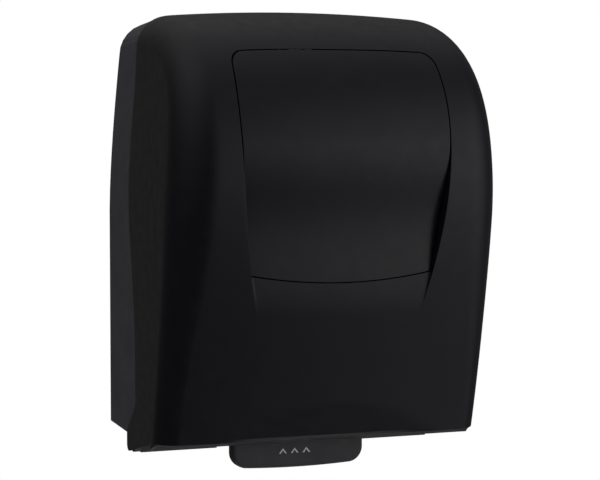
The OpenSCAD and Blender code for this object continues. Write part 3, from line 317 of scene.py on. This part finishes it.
def add_ring(bm, centre, low, high, outside, inside, sides=32, edge=0.4):
    """A turned ring along x with eased edges, round a centre in depth and height."""
    section = [(outside - edge, low), (outside, low + edge), (outside, high - edge), (outside - edge, high),
               (inside + edge, high), (inside, high - edge), (inside, low + edge), (inside + edge, low)]
    rings = []
    for i in range(sides):
        turn = 2.0 * math.pi * i / sides
        ring = []
        for radius, x in section:
            depth = centre[0] + radius * math.cos(turn)
            height = centre[1] + radius * math.sin(turn)
            ring.append(bm.verts.new(to_frame(x, depth, height)))
        rings.append(ring)
    for i in range(sides):
        near, far = rings[i], rings[(i + 1) % sides]
        for k in range(len(section)):
            after = (k + 1) % len(section)
            bm.faces.new([near[k], far[k], far[after], near[after]])


def add_plate(bm, loop, low, high, place, edge=0.3):
    """A flat plate between two levels; place turns a point of its plane and a level into x, depth, height."""
    curve = bpy.data.curves.new("outline", "CURVE")
    curve.dimensions = "2D"
    curve.fill_mode = "BOTH"
    curve.extrude = (high - low) / 2.0 - edge
    curve.bevel_depth = edge
    curve.bevel_resolution = 1
    curve.offset = -edge
    spline = curve.splines.new("POLY")
    spline.points.add(len(loop) - 1)
    spline.use_cyclic_u = True
    for point, (first, second) in zip(spline.points, loop):
        point.co = (first, second, 0.0, 1.0)
    holder = bpy.data.objects.new("outline", curve)
    bpy.context.scene.collection.objects.link(holder)
    solid = bpy.data.meshes.new_from_object(holder.evaluated_get(bpy.context.evaluated_depsgraph_get()))
    bpy.data.objects.remove(holder)
    bpy.data.curves.remove(curve)
    middle = (low + high) / 2.0
    for vertex in solid.vertices:
        vertex.co = Vector(to_frame(*place(vertex.co.x, vertex.co.y, middle + vertex.co.z)))
    bm.from_mesh(solid)
    bpy.data.meshes.remove(solid)


def closed_mesh(name, bm, merge=0.002):
    bmesh.ops.remove_doubles(bm, verts=bm.verts, dist=merge * MM)
    bmesh.ops.recalc_face_normals(bm, faces=bm.faces)
    mesh = bpy.data.meshes.new(name)
    bm.to_mesh(mesh)
    bm.free()
    return mesh


# Procedural finishes
NOISE_LOW = 0.3
NOISE_HIGH = 0.7
MOTTLE_DETAIL = 4.0
GLOSS_SCALE = 2.3
GLOSS_DETAIL = 3.0
GRAIN_DETAIL = 2.0
GRAIN_STRENGTH = 0.6
EVEN = (1.0, 1.0, 1.0)
LATHE = (6.0, 0.4, 0.4)
BRUSH = (0.08, 1.0, 1.0)
WHITE = (1.0, 1.0, 1.0, 1.0)


def noise(tree, scale, detail, stretch=EVEN):
    coordinates = tree.nodes.new("ShaderNodeTexCoord")
    mapping = tree.nodes.new("ShaderNodeMapping")
    mapping.inputs["Scale"].default_value = stretch
    texture = tree.nodes.new("ShaderNodeTexNoise")
    texture.inputs["Scale"].default_value = scale
    texture.inputs["Detail"].default_value = detail
    tree.links.new(coordinates.outputs["Object"], mapping.inputs["Vector"])
    tree.links.new(mapping.outputs["Vector"], texture.inputs["Vector"])
    return texture.outputs["Fac"]


def ranged(tree, value, low, high):
    node = tree.nodes.new("ShaderNodeMapRange")
    node.inputs["From Min"].default_value = NOISE_LOW
    node.inputs["From Max"].default_value = NOISE_HIGH
    node.inputs["To Min"].default_value = low
    node.inputs["To Max"].default_value = high
    tree.links.new(value, node.inputs["Value"])
    return node.outputs["Result"]


def finish(name, colour, rough, grain, deep, spread=0.12, rough_spread=0.05, metallic=0.0, specular=0.5,
           stretch=EVEN, mottle=38.0):
    """A moulded, turned or drawn surface: mottled colour, uneven gloss and a fine grain."""
    material = bpy.data.materials.new(name)
    material.use_nodes = True
    tree = material.node_tree
    shader = tree.nodes["Principled BSDF"]
    shader.inputs["Metallic"].default_value = metallic
    shader.inputs["Specular IOR Level"].default_value = specular
    ramp = tree.nodes.new("ShaderNodeValToRGB")
    darker, lighter = ramp.color_ramp.elements
    darker.position = NOISE_LOW
    lighter.position = NOISE_HIGH
    darker.color = tuple(part * (1.0 - spread) for part in colour) + (1.0,)
    lighter.color = tuple(part * (1.0 + spread) for part in colour) + (1.0,)
    tree.links.new(noise(tree, mottle, MOTTLE_DETAIL), ramp.inputs["Fac"])
    tree.links.new(ramp.outputs["Color"], shader.inputs["Base Color"])
    uneven = noise(tree, mottle * GLOSS_SCALE, GLOSS_DETAIL, stretch)
    gloss = ranged(tree, uneven, rough - rough_spread, rough + rough_spread)
    tree.links.new(gloss, shader.inputs["Roughness"])
    bump = tree.nodes.new("ShaderNodeBump")
    bump.inputs["Strength"].default_value = GRAIN_STRENGTH
    bump.inputs["Distance"].default_value = deep * MM
    tree.links.new(noise(tree, grain, GRAIN_DETAIL, stretch), bump.inputs["Height"])
    tree.links.new(bump.outputs["Normal"], shader.inputs["Normal"])
    return material


FINISHES = {
    "cover_black": dict(colour=(0.0030, 0.0028, 0.0043), rough=0.34, grain=1400.0, deep=0.006, specular=0.23),
    "window_black": dict(colour=(0.0030, 0.0028, 0.0043), rough=0.3, grain=1400.0, deep=0.004, specular=0.23),
    "case_charcoal": dict(colour=(0.035, 0.034, 0.039), rough=0.58, grain=1900.0, deep=0.035, specular=0.3),
    "paddle_charcoal": dict(colour=(0.0175, 0.0172, 0.02), rough=0.5, grain=1900.0, deep=0.03, specular=0.3),
    "frame_grey": dict(colour=(0.088, 0.090, 0.098), rough=0.52, grain=1700.0, deep=0.03),
    "hub_grey": dict(colour=(0.16, 0.165, 0.175), rough=0.48, grain=1700.0, deep=0.03),
    "drum_grey": dict(colour=(0.24, 0.245, 0.26), rough=0.46, grain=1700.0, deep=0.02),
    "gear_white": dict(colour=(0.76, 0.73, 0.64), rough=0.42, grain=1500.0, deep=0.015, spread=0.05),
    "bush_tan": dict(colour=(0.42, 0.30, 0.17), rough=0.5, grain=1500.0, deep=0.015),
    "rubber_black": dict(colour=(0.020, 0.020, 0.021), rough=0.78, grain=2400.0, deep=0.05, specular=0.3),
    "shaft_steel": dict(colour=(0.56, 0.57, 0.59), rough=0.28, grain=900.0, deep=0.004, metallic=1.0,
                        stretch=LATHE),
    "lock_metal": dict(colour=(0.62, 0.61, 0.58), rough=0.34, grain=900.0, deep=0.006, metallic=1.0),
    "screw_steel": dict(colour=(0.50, 0.51, 0.53), rough=0.32, grain=900.0, deep=0.006, metallic=1.0),
    "spring_steel": dict(colour=(0.44, 0.45, 0.47), rough=0.3, grain=900.0, deep=0.004, metallic=1.0),
    "blade_steel": dict(colour=(0.66, 0.67, 0.69), rough=0.26, grain=700.0, deep=0.006, metallic=1.0,
                        stretch=BRUSH),
    "press_mark": dict(colour=(0.42, 0.43, 0.44), rough=0.5, grain=1500.0, deep=0.004, spread=0.06),
}
MATERIALS = {name: finish(name, **look) for name, look in FINISHES.items()}

# Columns of the cover's grid, from the middle to the right side
ACROSS = np.linspace(0.0, 1.0, 29)
RIM_REACH = np.array([0.5, 0.9, 1.0, 1.5])
RIM_SUNK = np.array([0.5, 0.1, 0.02, 0.0])
OUTER = np.linspace(0.0, 1.0, 9)[1:]
TURN = np.radians(np.linspace(0.0, 90.0, 17))[1:]
SIDE = np.linspace(0.0, 1.0, 15)[1:]
INNER_COUNT = len(ACROSS)
RIM_END = INNER_COUNT + len(RIM_REACH)
OUTER_END = RIM_END + len(OUTER)
SKIN_COUNT = OUTER_END + len(TURN)
SUNK = np.concatenate([np.ones(INNER_COUNT), RIM_SUNK, np.zeros(SKIN_COUNT - RIM_END)])

# Rows of the grid above the window, below it, in the chin and under the lip, as shares of each band
ABOVE_SHARES = np.linspace(0.0, 1.0, 23)[:-1]
BELOW_SHARES = np.linspace(0.0, 1.0, 45)[1:]
CHIN_SHARES = np.linspace(0.0, 1.0, 13)[1:]
UNDER_SHARES = np.linspace(0.0, 1.0, 9)[1:]
LEVEL_STEP = 0.1


def across_row(side_x, step, s, inset):
    """x of each column in a row whose window side lies at side_x."""
    start = side_x + RIM_REACH[-1] * step
    flat = corner_x(0.0, s[RIM_END:OUTER_END], inset)
    return np.concatenate([ACROSS * side_x, side_x + RIM_REACH * step, start + (flat - start) * OUTER,
                           corner_x(TURN, s[OUTER_END:], inset)])


def rim_step(height):
    return np.maximum(RIM_LEAST, RIM_LEAN * recess_at(height))


def field_side(height):
    """Half width of the recessed field below the window."""
    return WINDOW_SIDE[0][0] - FIELD_SLOPE * np.maximum(0.0, WINDOW_LOW - height)


def facet_height(x):
    return FACET_HIGH * np.maximum(0.0, 1.0 - (x / FACET_HALF) ** 2) ** FACET_POWER


def height_at(x, s, inset, sunk):
    return skin(x, s, inset, sunk)[1]


def cover_grid(inset):
    """Rows of points over the right half of the cover, and the row counts of its bands."""
    blank = np.zeros(SKIN_COUNT)
    rise = FLANGE_THICK if inset else 0.0
    path = window_side(0.0)
    top_x, top_height = path[-1]
    low_x, low_height = path[0]

    def row_at_height(side_x, height, share):
        """s of each column where the inner ones lie in the window and the others follow its side."""
        side_s = solve(lambda s: height - height_at(side_x, s, inset, 0.0), FRONT_SPAN, 0.0)
        s = blank + side_s
        heights = window_height(ACROSS, share, 0.0)
        inner_x = ACROSS * side_x
        s[:INNER_COUNT] = solve(lambda t: heights - height_at(inner_x, t, inset, 1.0), FRONT_SPAN, ACROSS)
        return s

    top_s = row_at_height(top_x, top_height, 1.0)
    low_s = row_at_height(low_x, low_height, 0.0)

    def past_seam(s):
        depth, height = skin(across_row(top_x, RIM_LEAST, s, inset), s, inset, SUNK)
        return depth - seam_at(height) - SEAM_GAP

    def past_lip(s):
        depth, height = skin(across_row(field_side(0.0), RIM_LEAST, s, inset), s, inset, SUNK)
        return underside(depth) + rise - height

    seam_s = solve(past_seam, SEAM_SPAN, blank)
    lip_s = solve(past_lip, LIP_SPAN, blank)
    lip_x = across_row(field_side(0.0), RIM_LEAST, lip_s, inset)
    crease = np.maximum(facet_height(lip_x), height_at(lip_x, lip_s, inset, SUNK) + LIP_BAND)
    crease_s = solve(lambda s: crease - height_at(lip_x, s, inset, SUNK), LIP_SPAN, blank)

    rows = []

    def add_row(side_x, step, s, extra=0.0):
        x = across_row(side_x, step, s, inset)
        depth, height = skin(x, s, inset, SUNK, extra)
        rows.append(np.stack([x, depth, height], axis=-1))

    for share in ABOVE_SHARES:
        add_row(top_x, RIM_LEAST, seam_s + (top_s - seam_s) * share)
    pocket = blank.copy()
    pocket[INNER_COUNT - 1] = POCKET_DEEP
    window_first = len(rows)
    for side_x, height in path[::-1]:
        share = (height - WINDOW_LOW) / (WINDOW_TOP - WINDOW_LOW)
        s = row_at_height(side_x, height, share)
        inside = 0.0 < share < 1.0
        add_row(side_x, rim_step(height), s, pocket if inside else 0.0)
    window_last = len(rows) - 1
    for share in BELOW_SHARES:
        s = low_s + (crease_s - low_s) * share
        height = height_at(low_x, s[RIM_END], inset, 0.0)
        add_row(field_side(height), rim_step(height), s)
    facet = FACET_DEEP * facet_height(lip_x) / FACET_HIGH
    for share in CHIN_SHARES:
        add_row(field_side(0.0), RIM_LEAST, crease_s + (lip_s - crease_s) * share, facet * share)
    lip_row = len(rows) - 1
    lip = rows[-1]
    for share in UNDER_SHARES:
        depth = lip[:, 1] + (FLANGE_REAR - lip[:, 1]) * share
        height = lip[:, 2] + (FLANGE_LOW + rise - lip[:, 2]) * share
        rows.append(np.stack([lip[:, 0], depth, height], axis=-1))
    return np.array(rows), (window_first, window_last, lip_row)


def ear_path():
    """Points down the cover's rear edge from the foot of the seam to the bottom of the ear."""
    turn = np.linspace(0.0, math.pi / 2.0, EAR_POINTS)
    depth = EAR_REAR + EAR_ROUND * (1.0 - np.cos(turn))
    height = EAR_LOW + EAR_ROUND * (1.0 - np.sin(turn))
    foot = np.array([[SEAM_LOWER + SEAM_GAP, SEAM_FOOT], [EAR_REAR, EAR_TOP]])
    return np.concatenate([foot, np.stack([depth, height], axis=-1)])


def along(path, shares):
    """Points at even shares of a path's length."""
    steps = np.linalg.norm(np.diff(path, axis=0), axis=1)
    places = np.concatenate([[0.0], np.cumsum(steps)]) / steps.sum()
    return np.stack([np.interp(shares, places, path[:, k]) for k in (0, 1)], axis=-1)


def side_columns(edge):
    """Columns over the flat side to the seam, where edge is the last column of the corner."""
    rear = np.zeros((len(edge), 2))
    above = int(np.sum(edge[:, 2] >= SEAM_FOOT))
    level = edge[0, 2]
    for row in range(above):
        level = edge[row, 2] if row == 0 else min(edge[row, 2], level - LEVEL_STEP)
        rear[row] = (seam_at(level) + SEAM_GAP, level)
    rear[0] = edge[0, 1:]
    rear[above - 1:] = along(ear_path(), np.linspace(0.0, 1.0, len(edge) - above + 1))
    places = edge[:, None, 1:] + (rear[:, None] - edge[:, None, 1:]) * SIDE[None, :, None]
    x = np.broadcast_to(edge[:, None, :1], places.shape[:2] + (1,))
    return np.concatenate([x, places], axis=-1)


def whole_cover(inset):
    rows, bands = cover_grid(inset)
    sides = side_columns(rows[:bands[2] + 1, -1])
    spare = np.repeat(sides[-1:], len(rows) - len(sides), axis=0)
    grid = np.concatenate([rows, np.concatenate([sides, spare])], axis=1)
    grid = mirrored(grid)
    return to_frame(grid[..., 0], grid[..., 1], grid[..., 2]), bands


def make_cover():
    outer, (window_first, window_last, lip_row) = whole_cover(0.0)
    inner, _ = whole_cover(COVER_WALL)
    rows, wide = outer.shape[:2]
    shown = np.ones((rows - 1, wide - 1), dtype=bool)
    middle = wide // 2
    reach = INNER_COUNT - 1
    shown[window_first:window_last, middle - reach:middle + reach] = False
    skin_reach = SKIN_COUNT - 1
    shown[lip_row:, :middle - skin_reach] = False
    shown[lip_row:, middle + skin_reach:] = False
    lip_start = lip_row * wide
    lip_columns = range(middle - skin_reach, middle + skin_reach)
    lip = [(lip_start + column, lip_start + column + 1) for column in lip_columns]
    bm = bmesh.new()
    add_shell(bm, outer, inner, shown, lip)
    for side in (-1.0, 1.0):
        low, high = sorted((side * (HALF - COVER_WALL + BOSS_SUNK), side * (HALF - COVER_WALL - BOSS_HIGH)))
        add_ring(bm, HINGE, low, high, BOSS_RADIUS, BOSS_HOLE)
    cover = piece("cover_shell", closed_mesh("cover_shell", bm), "cover_black", "cover", "front_cover")
    soften(cover, COVER_SOFT)


def pane_grid(inset):
    path = window_side(-PANE_GAP)
    rows = []
    for side_x, height in path[::-1]:
        share = (height - WINDOW_LOW - PANE_GAP) / (WINDOW_TOP - WINDOW_LOW - 2.0 * PANE_GAP)
        heights = window_height(ACROSS, share, -PANE_GAP)
        x = ACROSS * side_x
        s = solve(lambda t: heights - height_at(x, t, 0.0, 1.0), FRONT_SPAN, ACROSS)
        depth, level = skin(x, s, 0.0, 1.0, inset)
        rows.append(np.stack([x, depth, level], axis=-1))
    grid = mirrored(np.array(rows))
    return to_frame(grid[..., 0], grid[..., 1], grid[..., 2])


def make_pane():
    outer = pane_grid(0.0)
    inner = pane_grid(PANE_THICK)
    bm = bmesh.new()
    add_shell(bm, outer, inner, np.ones((outer.shape[0] - 1, outer.shape[1] - 1), dtype=bool))
    pane = piece("window_pane", closed_mesh("window_pane", bm), "window_black", "cover", "window_panel")
    soften(pane, PANE_SOFT)


# Push paddle: rings of inset and depth from the middle of its front round its edge to the inside
PADDLE_HALF = 67.0
PADDLE_TOP = -8.0
PADDLE_LOW = -40.5
PADDLE_SAG = 1.5
PADDLE_CORNER = 15.0
PADDLE_CORNER_LEAST = 1.0
PADDLE_CORNER_POINTS = 11
PADDLE_TIP = 2.5
PADDLE_TIP_LEAST = 0.5
PADDLE_TIP_POINTS = 5
PADDLE_LOW_POINTS = 25
PADDLE_RINGS = [(9.0, 98.0), (4.0, 98.0), (2.4, 97.9), (1.3, 97.5), (0.5, 96.8), (0.1, 95.9), (0.0, 94.8),
                (0.0, 87.0), (0.3, 86.4), (0.8, 86.2), (1.9, 86.2), (2.4, 86.4), (2.5, 87.0), (2.5, 94.2),
                (3.2, 95.2), (4.5, 95.5), (9.0, 95.5)]
MARK_PLACE = (-4.0, -25.5)
MARK_SIZE = (8.0, 5.0)
MARK_STEP = 12.0
MARK_LINE = 1.7
MARK_SUNK = 0.3
MARK_RAISED = 0.15
MARK_EDGE = 0.05
MARK_MERGE = 0.0001


def arc_points(x, height, radius, start, count):
    """Points along a quarter circle that starts at an angle in degrees."""
    turn = np.radians(np.linspace(start, start + 90.0, count))
    return np.stack([x + radius * np.cos(turn), height + radius * np.sin(turn)], axis=-1)


def paddle_outline(inset):
    half = PADDLE_HALF - inset
    corner = max(PADDLE_CORNER - inset, PADDLE_CORNER_LEAST)
    tip = max(PADDLE_TIP - inset, PADDLE_TIP_LEAST)
    low = PADDLE_LOW + inset
    high = PADDLE_TOP - inset
    along_low = np.linspace(-1.0, 1.0, PADDLE_LOW_POINTS)[1:-1]
    bottom = np.stack([along_low * (half - corner), low - PADDLE_SAG * (1.0 - along_low ** 2)], axis=-1)
    return np.concatenate([
        bottom,
        arc_points(half - corner, low + corner, corner, -90.0, PADDLE_CORNER_POINTS),
        arc_points(half - tip, high - tip, tip, 0.0, PADDLE_TIP_POINTS),
        arc_points(-half + tip, high - tip, tip, 90.0, PADDLE_TIP_POINTS),
        arc_points(-half + corner, low + corner, corner, 180.0, PADDLE_CORNER_POINTS)])


def chevron(x, height):
    """A small plain arrow head that points up, as an outline."""
    half, high = MARK_SIZE[0] / 2.0, MARK_SIZE[1]
    low = height - high / 2.0
    return [(x - half, low), (x - half + MARK_LINE, low), (x, low + high - MARK_LINE),
            (x + half - MARK_LINE, low), (x + half, low), (x, low + high)]


def on_paddle(x, height, depth):
    return x, depth, height


def make_paddle():
    bm = bmesh.new()
    rings = []
    for inset, depth in PADDLE_RINGS:
        loop = paddle_outline(inset)
        rings.append([bm.verts.new(to_frame(x, depth, height)) for x, height in loop])
    for near, far in zip(rings, rings[1:]):
        count = len(near)
        for i in range(count):
            bm.faces.new([near[i], near[(i + 1) % count], far[(i + 1) % count], far[i]])
    bm.faces.new(rings[0])
    bm.faces.new(list(reversed(rings[-1])))
    paddle = piece("paddle_body", closed_mesh("paddle_body", bm), "paddle_charcoal", "push", "push_paddle")
    normals = paddle.modifiers.new("normals", "WEIGHTED_NORMAL")
    normals.keep_sharp = True
    bm = bmesh.new()
    face = PADDLE_RINGS[0][1]
    for step in (-1.0, 0.0, 1.0):
        mark = chevron(MARK_PLACE[0] + step * MARK_STEP, MARK_PLACE[1])
        add_plate(bm, mark, face - MARK_SUNK, face + MARK_RAISED, on_paddle, MARK_EDGE)
    piece("press_mark", closed_mesh("press_mark", bm, MARK_MERGE), "press_mark", "push")


# Skirt below the case's floor, in depth and height
SKIRT = [(55.0, -4.9), (63.0, -4.9), (63.0, -24.0), (66.0, -24.0), (66.0, -2.2), (55.0, -2.2)]
SKIRT_ENDS = (72.0, 148.0)


def make_skirt():
    bm = bmesh.new()
    for side in (-1.0, 1.0):
        low, high = sorted(side * end for end in SKIRT_ENDS)
        add_plate(bm, SKIRT, low, high, lambda depth, height, x: (x, depth, height))
    piece("case_skirt", closed_mesh("case_skirt", bm), "case_charcoal", "chassis")


# Springs as smooth round wire, in x, depth and height: where a coil begins, its legs, and where it bends
WIRE = 0.6
WIRE_ROUND = 3
COIL_STEPS = 24
COIL_PITCH = 1.8
ARM_COIL = (114.0, 22.0, 238.2)
ARM_RADIUS = 5.2
ARM_TURNS = 5.0
ARM_LEGS = ((119.2, 12.1, 238.2), (119.2, 44.0, 247.2))
ARM_BEND = ((114.0, 22.0, 238.8), (114.0, 22.0, 246.6))
PRESS_COIL = (90.0, 3.75, 135.0)
PRESS_RADIUS = 3.7
PRESS_TURNS = 6.0
PRESS_LONG = 17.5
PRESS_BEND = ((0.0, 4.5, 135.0), (0.0, 20.5, 135.0))
LEVER_COIL = (-65.0, 80.035, 28.037)
LEVER_RADIUS = 6.0
LEVER_TURNS = 5.25
LEVER_LEGS = ((-65.0, 86.035, 2.037), (-74.45, 46.035, 34.037))
LEVER_BEND = ((-73.9, 80.035, 28.037), (-65.6, 80.035, 28.037))


def spring(name, points, node):
    """Wire in place of a spring's node, as a mesh."""
    curve = bpy.data.curves.new(name, "CURVE")
    curve.dimensions = "3D"
    curve.bevel_depth = WIRE * MM
    curve.bevel_resolution = WIRE_ROUND
    curve.use_fill_caps = True
    for strand in points:
        spline = curve.splines.new("POLY")
        spline.points.add(len(strand) - 1)
        for point, place in zip(spline.points, to_frame(*np.array(strand).T)):
            point.co = (*place, 1.0)
        spline.use_smooth = True
    curve.materials.append(MATERIALS["spring_steel"])
    holder = bpy.data.objects.new(name, curve)
    mesh = bpy.data.meshes.new_from_object(holder)
    bpy.data.objects.remove(holder)
    obj = bpy.data.objects.new(name, mesh)
    bpy.context.scene.collection.objects.link(obj)
    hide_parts(node)
    return obj


def coil(turns, place):
    """Points along a coil, where place takes the turns so far and the angle."""
    return [place(i / COIL_STEPS, 2.0 * math.pi * i / COIL_STEPS) for i in range(int(turns * COIL_STEPS) + 1)]


def arm_place(turns, angle):
    x, depth, height = ARM_COIL
    return x + ARM_RADIUS * math.cos(angle), depth + ARM_RADIUS * math.sin(angle), height + COIL_PITCH * turns


def press_place(turns, angle):
    x, depth, height = PRESS_COIL
    along_coil = depth + PRESS_LONG * turns / PRESS_TURNS
    return x + PRESS_RADIUS * math.cos(angle), along_coil, height + PRESS_RADIUS * math.sin(angle)


def lever_place(turns, angle):
    x, depth, height = LEVER_COIL
    along_coil = x - COIL_PITCH * turns
    return along_coil, depth + LEVER_RADIUS * math.cos(angle), height + LEVER_RADIUS * math.sin(angle)


def make_springs():
    arm = [ARM_LEGS[0], *coil(ARM_TURNS, arm_place), ARM_LEGS[1]]
    wire = spring("arm_spring_wire", [arm], "arm_spring")
    to_frame(*ARM_BEND[0])
    to_frame(*ARM_BEND[1])
    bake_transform(wire)
    press = coil(PRESS_TURNS, press_place)
    presses = [[(side * x, depth, height) for x, depth, height in press] for side in (-1.0, 1.0)]
    wire = spring("pressure_spring_wire", presses, "pressure_springs")
    to_frame(*PRESS_BEND[0])
    to_frame(*PRESS_BEND[1])
    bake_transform(wire)
    lever = [LEVER_LEGS[0], *coil(LEVER_TURNS, lever_place), LEVER_LEGS[1]]
    wire = spring("lever_spring_wire", [lever], "lever_spring")
    to_frame(*LEVER_BEND[0])
    to_frame(*LEVER_BEND[1])
    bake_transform(wire)


SHARP_ANGLE = 32.0


def paint_nodes():
    """Each CAD node that still shows takes its slot's finish."""
    for node, obj in frame["nodes"].items():
        obj.data.materials.clear()
        obj.data.materials.append(MATERIALS[NODE_SLOTS[node]])
        obj.data.polygons.foreach_set("use_smooth", [True] * len(obj.data.polygons))
        obj.data.set_sharp_from_angle(angle=math.radians(SHARP_ANGLE))


# Camera, light and floor, in metres; a glow has a direction, the cosine it starts at and its peak
CAMERA_PLACE = (-0.6821, -1.8779, 0.0419)
CAMERA_YAW = 21.01
CAMERA_PITCH = 3.52
CAMERA_LENS = 120.0
CAMERA_SENSOR = 36.0
CAMERA_CLIP = (0.05, 50.0)
FRONT_GLOW = ((0.67, -0.74, 0.04), 0.5, 1.35)
TOP_GLOW = ((-0.15, 0.1, 0.98), 0.2, 0.55)
LEFT_GLOW = ((-0.7, -0.2, 0.6), 0.5, 0.4)
GLOW_POWER = 2.0
DARK_SIDE = 0.08
AMBIENT = 0.30
FLOOR_HALF = 0.55
FLOOR_HEIGHT = -1.1
FLOOR_GLOW = 0.45
FLOOR_SQUARES = 8
FLOOR_PAPER = dict(colour=(0.8, 0.8, 0.8), rough=0.85, grain=300.0, deep=0.02, spread=0.01)


def make_camera():
    camera = bpy.data.cameras.new("camera")
    camera.lens = CAMERA_LENS
    camera.sensor_width = CAMERA_SENSOR
    camera.clip_start, camera.clip_end = CAMERA_CLIP
    holder = bpy.data.objects.new("camera", camera)
    bpy.context.scene.collection.objects.link(holder)
    holder.location = CAMERA_PLACE
    holder.rotation_euler = (math.radians(90.0 - CAMERA_PITCH), 0.0, math.radians(-CAMERA_YAW))
    bpy.context.scene.camera = holder


def lamp(name, azimuth, elevation, distance, width, height, radiance):
    """A soft panel that faces the object, seen from it at an azimuth to the right of the front."""
    turn = math.radians(azimuth)
    lift = math.radians(elevation)
    way = Vector((math.sin(turn) * math.cos(lift), -math.cos(turn) * math.cos(lift), math.sin(lift)))
    light = bpy.data.lights.new(name, "AREA")
    light.shape = "RECTANGLE"
    light.size = width
    light.size_y = height
    light.energy = radiance * math.pi * width * height
    holder = bpy.data.objects.new(name, light)
    bpy.context.scene.collection.objects.link(holder)
    holder.location = way * distance
    holder.rotation_euler = way.to_track_quat("Z", "Y").to_euler()
    holder.visible_glossy = False


def calculate(tree, operation, first, second):
    """The output of a math node with two inputs, which are numbers or other outputs."""
    node = tree.nodes.new("ShaderNodeMath")
    node.operation = operation
    for socket, value in zip(node.inputs, (first, second)):
        if isinstance(value, float):
            socket.default_value = value
        else:
            tree.links.new(value, socket)
    return node.outputs["Value"]


def glow(tree, way, start, peak):
    """A soft bright side of the studio round a direction, seen in reflections."""
    coordinates = tree.nodes.new("ShaderNodeTexCoord")
    towards = tree.nodes.new("ShaderNodeVectorMath")
    towards.operation = "DOT_PRODUCT"
    towards.inputs[1].default_value = Vector(way).normalized()
    tree.links.new(coordinates.outputs["Generated"], towards.inputs[0])
    share = tree.nodes.new("ShaderNodeMapRange")
    share.inputs["From Min"].default_value = start
    tree.links.new(towards.outputs["Value"], share.inputs["Value"])
    return calculate(tree, "MULTIPLY", calculate(tree, "POWER", share.outputs["Result"], GLOW_POWER), peak)


def ray_kinds(tree):
    """Whether a ray is the camera's own, and whether it was mirrored or passed on by a surface."""
    path = tree.nodes.new("ShaderNodeLightPath").outputs
    mirrored_ray = calculate(tree, "MAXIMUM", path["Is Glossy Ray"], path["Is Transmission Ray"])
    return path["Is Camera Ray"], mirrored_ray


def make_world():
    """White where the camera looks past the object; metal and gloss see the studio's soft bright sides."""
    world = bpy.data.worlds.new("studio")
    bpy.context.scene.world = world
    world.use_nodes = True
    tree = world.node_tree
    camera_ray, mirrored_ray = ray_kinds(tree)
    sides = DARK_SIDE
    for way, start, peak in (FRONT_GLOW, TOP_GLOW, LEFT_GLOW):
        sides = calculate(tree, "ADD", glow(tree, way, start, peak), sides)
    seen = calculate(tree, "MULTIPLY", sides, mirrored_ray)
    shown = calculate(tree, "MAXIMUM", seen, camera_ray)
    plain = calculate(tree, "SUBTRACT", 1.0, calculate(tree, "MAXIMUM", mirrored_ray, camera_ray))
    strength = calculate(tree, "ADD", shown, calculate(tree, "MULTIPLY", plain, AMBIENT))
    background = tree.nodes["Background"]
    tree.links.new(strength, background.inputs["Strength"])
    background.inputs["Color"].default_value = WHITE


def make_floor():
    """A pale sheet that shows white and keeps the object's shadow."""
    bm = bmesh.new()
    bmesh.ops.create_grid(bm, x_segments=FLOOR_SQUARES, y_segments=FLOOR_SQUARES, size=FLOOR_HALF)
    mesh = bpy.data.meshes.new("floor")
    bm.to_mesh(mesh)
    bm.free()
    floor = bpy.data.objects.new("floor", mesh)
    floor.location = (0.0, 0.0, FLOOR_HEIGHT)
    bpy.context.scene.collection.objects.link(floor)
    paper = finish("floor_paper", **FLOOR_PAPER)
    tree = paper.node_tree
    shader = tree.nodes["Principled BSDF"]
    shader.inputs["Emission Color"].default_value = WHITE
    shown = calculate(tree, "MAXIMUM", *ray_kinds(tree))
    tree.links.new(calculate(tree, "MULTIPLY", shown, FLOOR_GLOW), shader.inputs["Emission Strength"])
    mesh.materials.append(paper)


make_camera()
make_world()
make_floor()
lamp("front_panel", azimuth=30.0, elevation=8.0, distance=2.6, width=2.6, height=2.2, radiance=2.4)
lamp("top_panel", azimuth=-20.0, elevation=78.0, distance=2.2, width=2.2, height=1.6, radiance=2.0)
lamp("left_panel", azimuth=-65.0, elevation=5.0, distance=2.4, width=1.6, height=1.6, radiance=1.2)
paint_nodes()
make_cover()
make_pane()
make_paddle()
make_skirt()
make_springs()
bpy.context.scene.view_settings.view_transform = "Standard"
